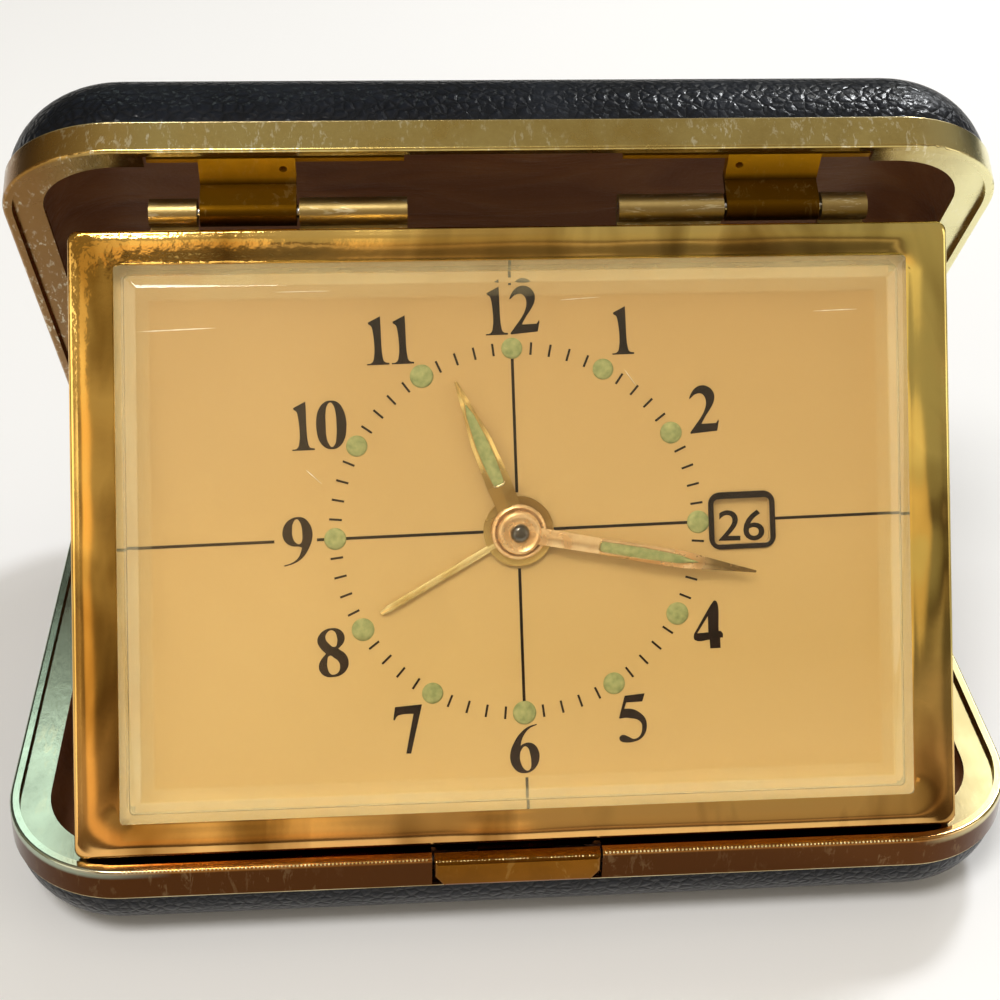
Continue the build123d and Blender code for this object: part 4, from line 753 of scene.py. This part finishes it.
# Outlines of the numbers, a hundred units high: a mark after a point makes it a corner.
NUMBER_HIGH = 5.1
NUMBER_GAP = 4.7
DIGITS = {
    "0": (61, "30,100 17,96.6 5,82 0,62 0,39 6,16 18,3.4 31,0 45,4.3 56,19 61,42 60.5,62 54,84 44,96.6",
          "29.5,96 22.5,89 19.5,76 19,51 20,25 24.6,10.6 30.4,5 36.7,10.6 40,25 41,51 39.5,76 35,91"),
    "1": (46, "0,0! 0,2.6! 9,4.2 14,12 12.3,76 10,80.5 4.8,84! 4.2,87.6! 29.7,100! 33.2,12 37,5.4"
              " 45.8,3.6! 45.8,0!"),
    "2": (61, "0,73.7! 4.6,84 12.3,94 25,100 39.4,97.7 50.8,87 53.7,75.7 51,63 43.7,50 33.7,35.7"
              " 24.5,20! 55,20.5! 60.5,28! 61.4,24! 57,4.3! 1,0! 0.3,3! 11,17 25,35.7 33.5,53 35.4,66"
              " 32.3,77 26.5,82.5 19.4,83.4 11,80.6 5,75.5 1.5,72.6!"),
    "4": (62, "46.5,100 51.5,96.5 52.9,36.4! 58,35.8! 62,30! 61.5,22! 55.8,22! 55.8,0.6! 34,0.6!"
              " 33.2,19! 3,19 0,24 0.9,32.4! 42.8,97.5", "31.2,34.4! 7.5,33.4! 31.2,68!"),
    "5": (59, "14.3,97! 56.3,100! 55.4,97! 50.6,83.4! 17,83! 12.6,70.3! 29,69 45,60.5 55.4,49 58.6,36"
              " 55.4,19 45,6.3 30.6,1 15,0 3.4,3.4 0,10.6 3.5,15 9,16.3 19,12.5 30,7 39.5,9.5 46,17"
              " 48.6,29 47,39 39,46.3 26,49.7 15,51.4 3.4,50.3! 1,51.5!"),
    "6": (61, "57,100! 40,95.5 20.7,81 8,62.5 1,45.5 0,28.4 5,14.2 16.5,2.8 29.3,0 43.5,3.4 54.8,14.2"
              " 60.5,29.8 59,45.5 50.6,58.2 39.2,62.5 27.8,60.2 22.2,56.8! 24.5,67 31,80 42,91.5 57,98!",
          "31,55 24,49 20.2,37 22.2,20 29.5,7.5 35.5,4.8 41,9 43,23 41,40 37.2,51.5"),
    "7": (60, "4.3,97! 59.8,100! 59.3,97! 34.2,0.3! 24.2,0.9! 41.9,81.5! 17,81 9,78.5 3,70! 0,71!"),
    "8": (62, "29,100 16.2,97.2 3.4,85.8 0,74.4 4.8,61.6 16.8,48.3! 6.3,36 1.4,23.3 4.8,10.5 16.2,1.4"
              " 30.4,0 47.4,4 59.4,16.2 62.5,29 57.4,44.6 42.3,57.4! 53,68.8 56,80 51.7,91.5 41.8,98.6",
          "28,95.7 19.6,90 16.8,80 23.3,68.8 35.5,61.6 40.3,70.2 39.8,83 35.5,93",
          "24,43.8 19,31.8 19.6,17.6 24.7,6.8 31,4.8 40.3,9 44.6,20.5 42.3,30.4 33.2,39"),
    "9": (60, "30.7,100 16.8,96.4 5.6,86.6 0,72.6 0.6,58.7 7,47.5 19.6,40.5 30.7,39.7 38.5,37! 34.5,25"
              " 29,15.5 16.8,7 0.6,2.2! 1.4,0! 22.3,5.6 39,16.2 51.7,33.5 60,56 60,72.6 53.6,88 43.3,97.8",
          "29.3,95.5 22,88 19.6,75.4 20.4,58.7 26.5,47.5 33.5,44.7 38.5,50.3 39.9,64.2 38.5,81 34,92.2"),
}


def printed_number(text, x, y):
    """The number as a thin slab of ink, its middle at (x, y) on the dial."""
    unit = NUMBER_HIGH / 100
    wide = sum(DIGITS[d][0] for d in text) + NUMBER_GAP * (len(text) - 1)
    curve = bpy.data.curves.new("number_" + text, "CURVE")
    curve.dimensions, curve.fill_mode, curve.resolution_u = "2D", "BOTH", 5
    curve.extrude = (INK_Z[1] - INK_Z[0]) / 2
    left = -wide / 2
    for digit in text:
        for outline in DIGITS[digit][1:]:
            marks = outline.split()
            spline = curve.splines.new("BEZIER")
            spline.bezier_points.add(len(marks) - 1)
            spline.use_cyclic_u = True
            for point, mark in zip(spline.bezier_points, marks):
                u, v = (float(n) for n in mark.rstrip("!").split(","))
                point.co = (x + (left + u) * unit, y + (v - 50) * unit, 0)
                point.handle_left_type = point.handle_right_type = "VECTOR" if "!" in mark else "AUTO"
        left += DIGITS[digit][0] + NUMBER_GAP
    mesh = as_mesh(bpy.data.objects.new(curve.name, curve))
    mesh.transform(Matrix.Translation((0, 0, (INK_Z[0] + INK_Z[1]) / 2)))
    return mesh


# The three gives way to the date window. Each number has its distance from the middle and its lean.
NUMBERS = {12: (23.2, 0.4), 1: (23.8, -0.2), 2: (23.5, -0.5), 4: (22.7, -1.1), 5: (23.4, 0.7), 6: (23.0, 0.3),
           7: (23.7, 1.2), 8: (23.1, -0.8), 9: (23.1, -0.2), 10: (23.7, 0.2), 11: (24.2, -1.9)}
numbers = []
for hour, (radius, lean) in NUMBERS.items():
    angle = radians(90 - 30 * hour - lean)
    numbers.append(printed_number(str(hour), radius * cos(angle), radius * sin(angle)))
hang("dial_numbers", joined(*numbers), on_print, ink, "clock")


def round_ring(tree, inlet):
    """A piece repeated round a ring, turned with it, leaving out every so many places."""
    places = add(tree, "GeometryNodeMeshCircle", {"Vertices": inlet["Count"], "Radius": inlet["Radius"]})
    index = add(tree, "GeometryNodeInputIndex").outputs[0]
    turn = sums("MULTIPLY", index, sums("DIVIDE", 2 * pi, inlet["Count"]))
    left_out = sums("MODULO", sums("ADD", index, inlet["Start"]), inlet["Skip"])
    size = varied_size(tree, inlet)
    set_out = add(tree, "GeometryNodeInstanceOnPoints", {
        "Points": places.outputs[0], "Selection": sums("GREATER_THAN", left_out, 0.5),
        "Instance": shape_of(tree, inlet),
        "Rotation": add(tree, "ShaderNodeCombineXYZ", {2: turn}).outputs[0],
        "Scale": add(tree, "ShaderNodeCombineXYZ", {0: size, 1: size, 2: 1.0}).outputs[0]})
    return set_out.outputs[0]


RING_R, TICK_LONG, TICK_WIDE = 19.2, 0.66, 0.115
tick = bar((-TICK_LONG, TICK_LONG), (-TICK_WIDE, TICK_WIDE), INK_Z)
ticks = grow("minute_ring", round_ring, tick, Count=60, Radius=RING_R, Start=0, Skip=5, Vary=0.0, Seed=1,
             Finish=ink)
hang("minute_ticks", ticks, on_print, ink, "clock")


# ---- Hour dots ----
# Twelve blobs of pale green luminous paint stand on the ring, one at each hour. They are dabbed on
# thick, so they set in low, lumpy domes, and no two are quite alike.
lume, at, shader = new_finish("luminous_paint", Specular_IOR_Level=0.3)
crust = mottling(at, 1500.0, 4.0)
feed(shader, Base_Color=ramp(crust, (0.3, (0.19, 0.22, 0.075)), (0.7, (0.33, 0.33, 0.13))),
     Roughness=levels(crust, (0.3, 0.6), (0.7, 0.75)), Normal=raised(crust, 0.6, 0.00006))

DOT_R, DOT_HIGH, DOT_FOOT = 1.18, 0.26, -0.02
dome = [(DOT_R * cos(a) ** 0.7, DOT_HIGH * sin(a)) for a in (radians(d) for d in (8, 25, 45, 65, 80))]
dot = [(0.0, DOT_FOOT), (DOT_R, DOT_FOOT)] + dome + [(0.0, DOT_HIGH)]
blobs = grow("lume_ring", round_ring, lathed(dot, 24), Count=12, Radius=RING_R, Start=1, Skip=1000, Vary=0.06,
             Seed=7, Finish=lume)
LUMP_HIGH, LUMPS_FROM = 0.035, 0.02
for v in blobs.vertices:
    v.co.z += LUMP_HIGH * noise.noise(v.co * 1.7) * (v.co.z > LUMPS_FROM)
dots = hang("lume_dots", blobs, on_print, lume, "clock", 60)
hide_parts("hour_dots")


# ---- Date window and ring ----
# A dark rim frames the window. Behind it turns the month's ring, its numbers printed in plain thin
# figures, each upright as it comes to the window at the right of the dial.
WINDOW_AT, OPENING_DOWN = 23.9, 0.1
RIM_ROWS = ((7.15, 6.07, 1.25, 0.02), (7.15, 6.07, 1.25, 0.24), (7.03, 5.95, 1.2, 0.30),
            (6.2, 5.0, 0.6, 0.30), (6.05, 4.85, 0.55, 0.24), (6.05, 4.85, 0.55, 0.02))
window_rim = lofted(loops_of(RIM_ROWS, 8), ring=True)
for v in window_rim.vertices:
    if abs(v.co.x) < 3.2 and abs(v.co.y) < 2.6:
        v.co.y -= OPENING_DOWN
rim_piece = hang("window_rim", window_rim, on_print @ Matrix.Translation((WINDOW_AT, 0, 0)), ink, "clock",
                 40)
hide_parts("date_window_frame")

DATE_AT, DATE_TODAY, DATE_DOWN = 24.0, 26, 0.4
DATE_HIGH, DATE_WIDE = 3.3, 4.95
DATE_Z, DATE_INK, DATE_BOLD = -0.585, 0.015, 0.008


def date_number(day):
    """The day in plain thin figures."""
    text = bpy.data.curves.new("day", "FONT")
    text.body, text.align_x, text.align_y = str(day), "CENTER", "CENTER"
    text.extrude, text.offset, text.resolution_u = DATE_INK, DATE_BOLD, 4
    return as_mesh(bpy.data.objects.new("day", text))


def extent(mesh, axis):
    """Lowest and highest place of a mesh along an axis."""
    values = [v.co[axis] for v in mesh.vertices]
    return min(values), max(values)


model_day = date_number(DATE_TODAY)
wide, high = [hi - lo for lo, hi in (extent(model_day, 0), extent(model_day, 1))]
days = []
for day in range(1, 32):
    mesh = date_number(day)
    lo, hi = extent(mesh, 1)
    turn = radians((day - DATE_TODAY) * 360 / 31 - DATE_DOWN)
    mesh.transform(Matrix.Rotation(turn, 4, "Z") @ Matrix.Translation((DATE_AT, 0, DATE_Z))
                   @ Matrix.Diagonal((DATE_WIDE / wide, DATE_HIGH / high, 1.0, 1.0))
                   @ Matrix.Translation((0, -(lo + hi) / 2, 0)))
    days.append(mesh)
hang("date_numbers", joined(*days), on_dial, ink, "date_disc")


# ---- Hands ----
# Hour and minute hands are gilt strips pressed to a roof shape, each with a slot filled with luminous
# paint. The alarm hand is a narrow ridged bar. Each sits on a turned boss, one above the other.
def strip_finish(name, metallic, scale, detail, dark, light, roughness, toned=None):
    """Thin gilding, rubbed in spots: a (position, colour) stop for its dark and light tones, the
    roughness of each, and where toned is given, a tone that changes from place to place."""
    finish, at, shader = new_finish(name, Metallic=metallic)
    spots = mottling(at, scale, detail)
    tone = ramp(spots, dark, light)
    if toned:
        tone = toned(at, tone)
    feed(shader, Base_Color=tone, Roughness=levels(spots, (0.3, roughness[0]), (0.7, roughness[1])))
    return finish


def dark_tip(at, tone):
    """The minute hand darkens towards its tip."""
    return mix(along(at, "X", 0.0180, 0.0205), tone, (0.24, 0.15, 0.05))


hand_gilt = strip_finish("hand_gilt", 0.8, 120.0, 2.0, (0.36, (0.34, 0.20, 0.05)), (0.62, (0.78, 0.56, 0.20)),
                         (0.34, 0.20))
copper = strip_finish("boss_copper", 0.72, 500.0, 4.0, (0.32, (0.70, 0.40, 0.16)), (0.66, (0.95, 0.68, 0.36)),
                      (0.32, 0.18), dark_tip)
alarm_gilt = strip_finish("alarm_gilt", 0.75, 260.0, 3.0, (0.32, (0.66, 0.46, 0.13)),
                          (0.66, (0.98, 0.80, 0.38)), (0.28, 0.16))


def at_length(stations, y):
    """Half width at y, along straight lines between (y, half width) stations."""
    for (y0, w0), (y1, w1) in zip(stations, stations[1:]):
        if y <= y1:
            return w0 + (w1 - w0) * max(0.0, y - y0) / (y1 - y0)
    return stations[-1][1]


def spread_out(y0, y1, slot):
    """Places along a hand, with the slot's own stations and some just past its ends among them."""
    places = {y0, y1} | {y0 + (y1 - y0) * k / 16 for k in range(17)} | {y for y, _ in slot}
    if slot:
        places |= {slot[0][0] - 0.02, slot[0][0] - 0.14, slot[-1][0] + 0.12}
    return sorted(places)


# Half widths of a closed slot, and of a blade where its roof starts to come down.
SEAM, NARROW = 0.004, 0.3


def pressed_blade(stations, low, edge, top, slot=(), lip=0.12):
    """Roof-shaped blade along (y, half width) stations, with a slot along stations of its own."""
    sections = []
    for y in spread_out(stations[0][0], stations[-1][0], slot):
        w = at_length(stations, y)
        s = at_length(slot, y) if slot and slot[0][0] <= y <= slot[-1][0] else 0.0
        floor_z = edge - 0.02 if s > 0.03 else top
        s, ridge = max(s, SEAM), max(s, SEAM) + min(lip, w * 0.4)
        crest = top if w > NARROW else edge + (top - edge) * w / NARROW
        half = [(w, low), (w, edge), (min(ridge, w * 0.9), crest), (s, crest), (s, min(floor_z, crest))]
        sections.append([(-x, y, z) for x, z in half] + [(x, y, z) for x, z in half[::-1]])
    return lofted(sections)


def slot_fill(slot, base, level):
    """Paint that fills a slot, a little uneven on top."""
    sections = []
    for k in range(25):
        y = slot[0][0] + 0.02 + (slot[-1][0] - slot[0][0] - 0.04) * k / 24
        s = max(at_length(slot, y) - 0.01, 0.01)
        lump = level + 0.03 * noise.noise(Vector((y * 0.9, s, 0.3)))
        half = [(s, base), (s, lump - 0.05), (s * 0.5, lump + 0.01)]
        sections.append([(-x, y, z) for x, z in half] + [(0.0, y, lump + 0.03)]
                        + [(x, y, z) for x, z in half[::-1]])
    return lofted(sections)


def turned_to(angle):
    """Place of a hand that is turned clockwise from twelve."""
    return on_dial @ Matrix.Rotation(radians(-angle), 4, "Z")


def set_hand(name, angle, body, finish, blade, replaced, fill=None):
    """Sets a hand on its body at its clockwise angle, with its luminous fill."""
    hand = hang(name, blade, turned_to(angle), finish, body, 25)
    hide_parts(replaced)
    if fill:
        hang(name + "_lume", fill, turned_to(angle), lume, body, 60)


def slot_end(y, half, z, angle, body):
    """Bright raised ridge round the near end of a hand's slot."""
    sections = []
    for k in range(9):
        x = half * (k / 4 - 1)
        way = y + 0.28 * (x / half) ** 4
        sections.append([(x, way + 0.10 * cos(a), z + 0.05 * sin(a)) for a in (pi / 3 * n for n in range(6))])
    hang(body + "_slot_end", lofted(sections), turned_to(angle), turned_edge, body, 60)


MINUTE_AT, HOUR_AT, ALARM_AT = 100.7, 337.9, 240.5
minute_slot = [(8.6, 0.44), (8.75, 0.52), (13.0, 0.58), (17.0, 0.45), (19.1, 0.05)]
set_hand("minute_hand_pressed", MINUTE_AT, "minute_group", copper,
         pressed_blade([(1.2, 0.88), (8.6, 0.84), (13.5, 0.93), (17.8, 0.88), (20.2, 0.62), (25.4, 0.12)],
                       low=1.85, edge=1.98, top=2.20, slot=minute_slot),
         "minute_hand", slot_fill(minute_slot, base=1.95, level=2.14))
slot_end(8.5, 0.56, 2.18, MINUTE_AT, "minute_group")
hang("minute_boss", lathed([(0.97, 1.85), (2.25, 1.85), (2.25, 2.12), (2.16, 2.24), (1.95, 2.30), (1.7, 2.20),
                            (1.5, 2.16), (1.12, 2.16), (1.08, 2.24), (0.97, 2.24)]),
     on_dial, copper, "minute_group", 25)
hour_slot = [(5.4, 0.48), (5.6, 0.62), (8.0, 0.74), (10.0, 0.70), (13.2, 0.42), (14.6, 0.03)]
set_hand("hour_hand_pressed", HOUR_AT, "hour_group", hand_gilt,
         pressed_blade([(1.6, 1.22), (5.4, 1.32), (10.3, 1.15), (13.2, 0.68), (15.4, 0.42), (17.1, 0.14)],
                       low=1.15, edge=1.26, top=1.45, slot=hour_slot),
         "hour_hand", slot_fill(hour_slot, base=1.22, level=1.40))
slot_end(5.28, 0.70, 1.43, HOUR_AT, "hour_group")
hang("hour_boss", lathed([(1.42, 1.15), (2.9, 1.15), (2.9, 1.36), (2.78, 1.48), (2.6, 1.55), (2.4, 1.48),
                          (2.3, 1.40), (1.42, 1.40)]), on_dial, copper, "hour_group", 25)
set_hand("alarm_hand_pressed", ALARM_AT, "alarm_group", alarm_gilt,
         pressed_blade([(2.0, 0.38), (16.4, 0.36), (16.7, 0.2)], low=0.45, edge=0.60, top=0.75, lip=0.2),
         "alarm_hand")
hang("alarm_boss", lathed([(1.87, 0.45), (3.7, 0.45), (3.7, 0.64), (3.6, 0.72), (3.4, 0.70), (1.87, 0.70)]),
     on_dial, hand_gilt, "alarm_group", 25)


# ---- Clock body ----
# The movement sits in a drawn brass wall with a pressed back. Winding keys, setting knobs and the
# alarm stop come through the back, which is held by four screws at its corners.
body_brass = brass_finish("body_brass", (0.62, 0.50, 0.25), (0.40, 0.30, 0.13), (300.0, 1800.0, 1800.0))
back_brass = brass_finish("back_brass", (0.68, 0.52, 0.22), (0.46, 0.33, 0.12), (260.0, 2600.0, 2600.0))
key_brass = brass_finish("key_brass", (0.74, 0.55, 0.22), (0.48, 0.32, 0.11), (900.0, 900.0, 900.0),
                         (0.16, 0.28))
coat(body_brass, "case_body")
coat(back_brass, "back_cover")
coat(key_brass, "time_key", "alarm_key", "time_setting_knob", "alarm_setting_knob", "alarm_stop_button")
coat(steel_finish, "back_cover_screws", "plate_screws", "regulator")


# ---- Movement ----
# Brass plates and wheels with steel arbors and springs. Only the domed steel end of the centre arbor
# shows, in the middle of the hands.
plate_brass = brass_finish("plate_brass", (0.66, 0.50, 0.20), (0.50, 0.36, 0.14), (1800.0, 200.0, 1800.0))
coat(plate_brass, "front_plate", "back_plate", "pillars", "date_ring_seat", "time_barrel", "alarm_barrel",
     "third_wheel", "fourth_wheel", "minute_wheel", "hour_wheel", "alarm_wheel", "date_driver",
     "balance_wheel", "cannon_pinion")
dark_steel = brass_finish("dark_steel", (0.30, 0.28, 0.26), (0.12, 0.11, 0.10), (700.0, 700.0, 700.0),
                          (0.12, 0.22), (0.6, 0.6, 0.6), 0.3)
coat(dark_steel, "centre_wheel")
coat(steel_finish, "time_mainspring", "alarm_mainspring", "escape_wheel", "pallet_lever",
     "alarm_escape_wheel", "alarm_hammer", "hairspring", "time_arbor", "alarm_arbor")
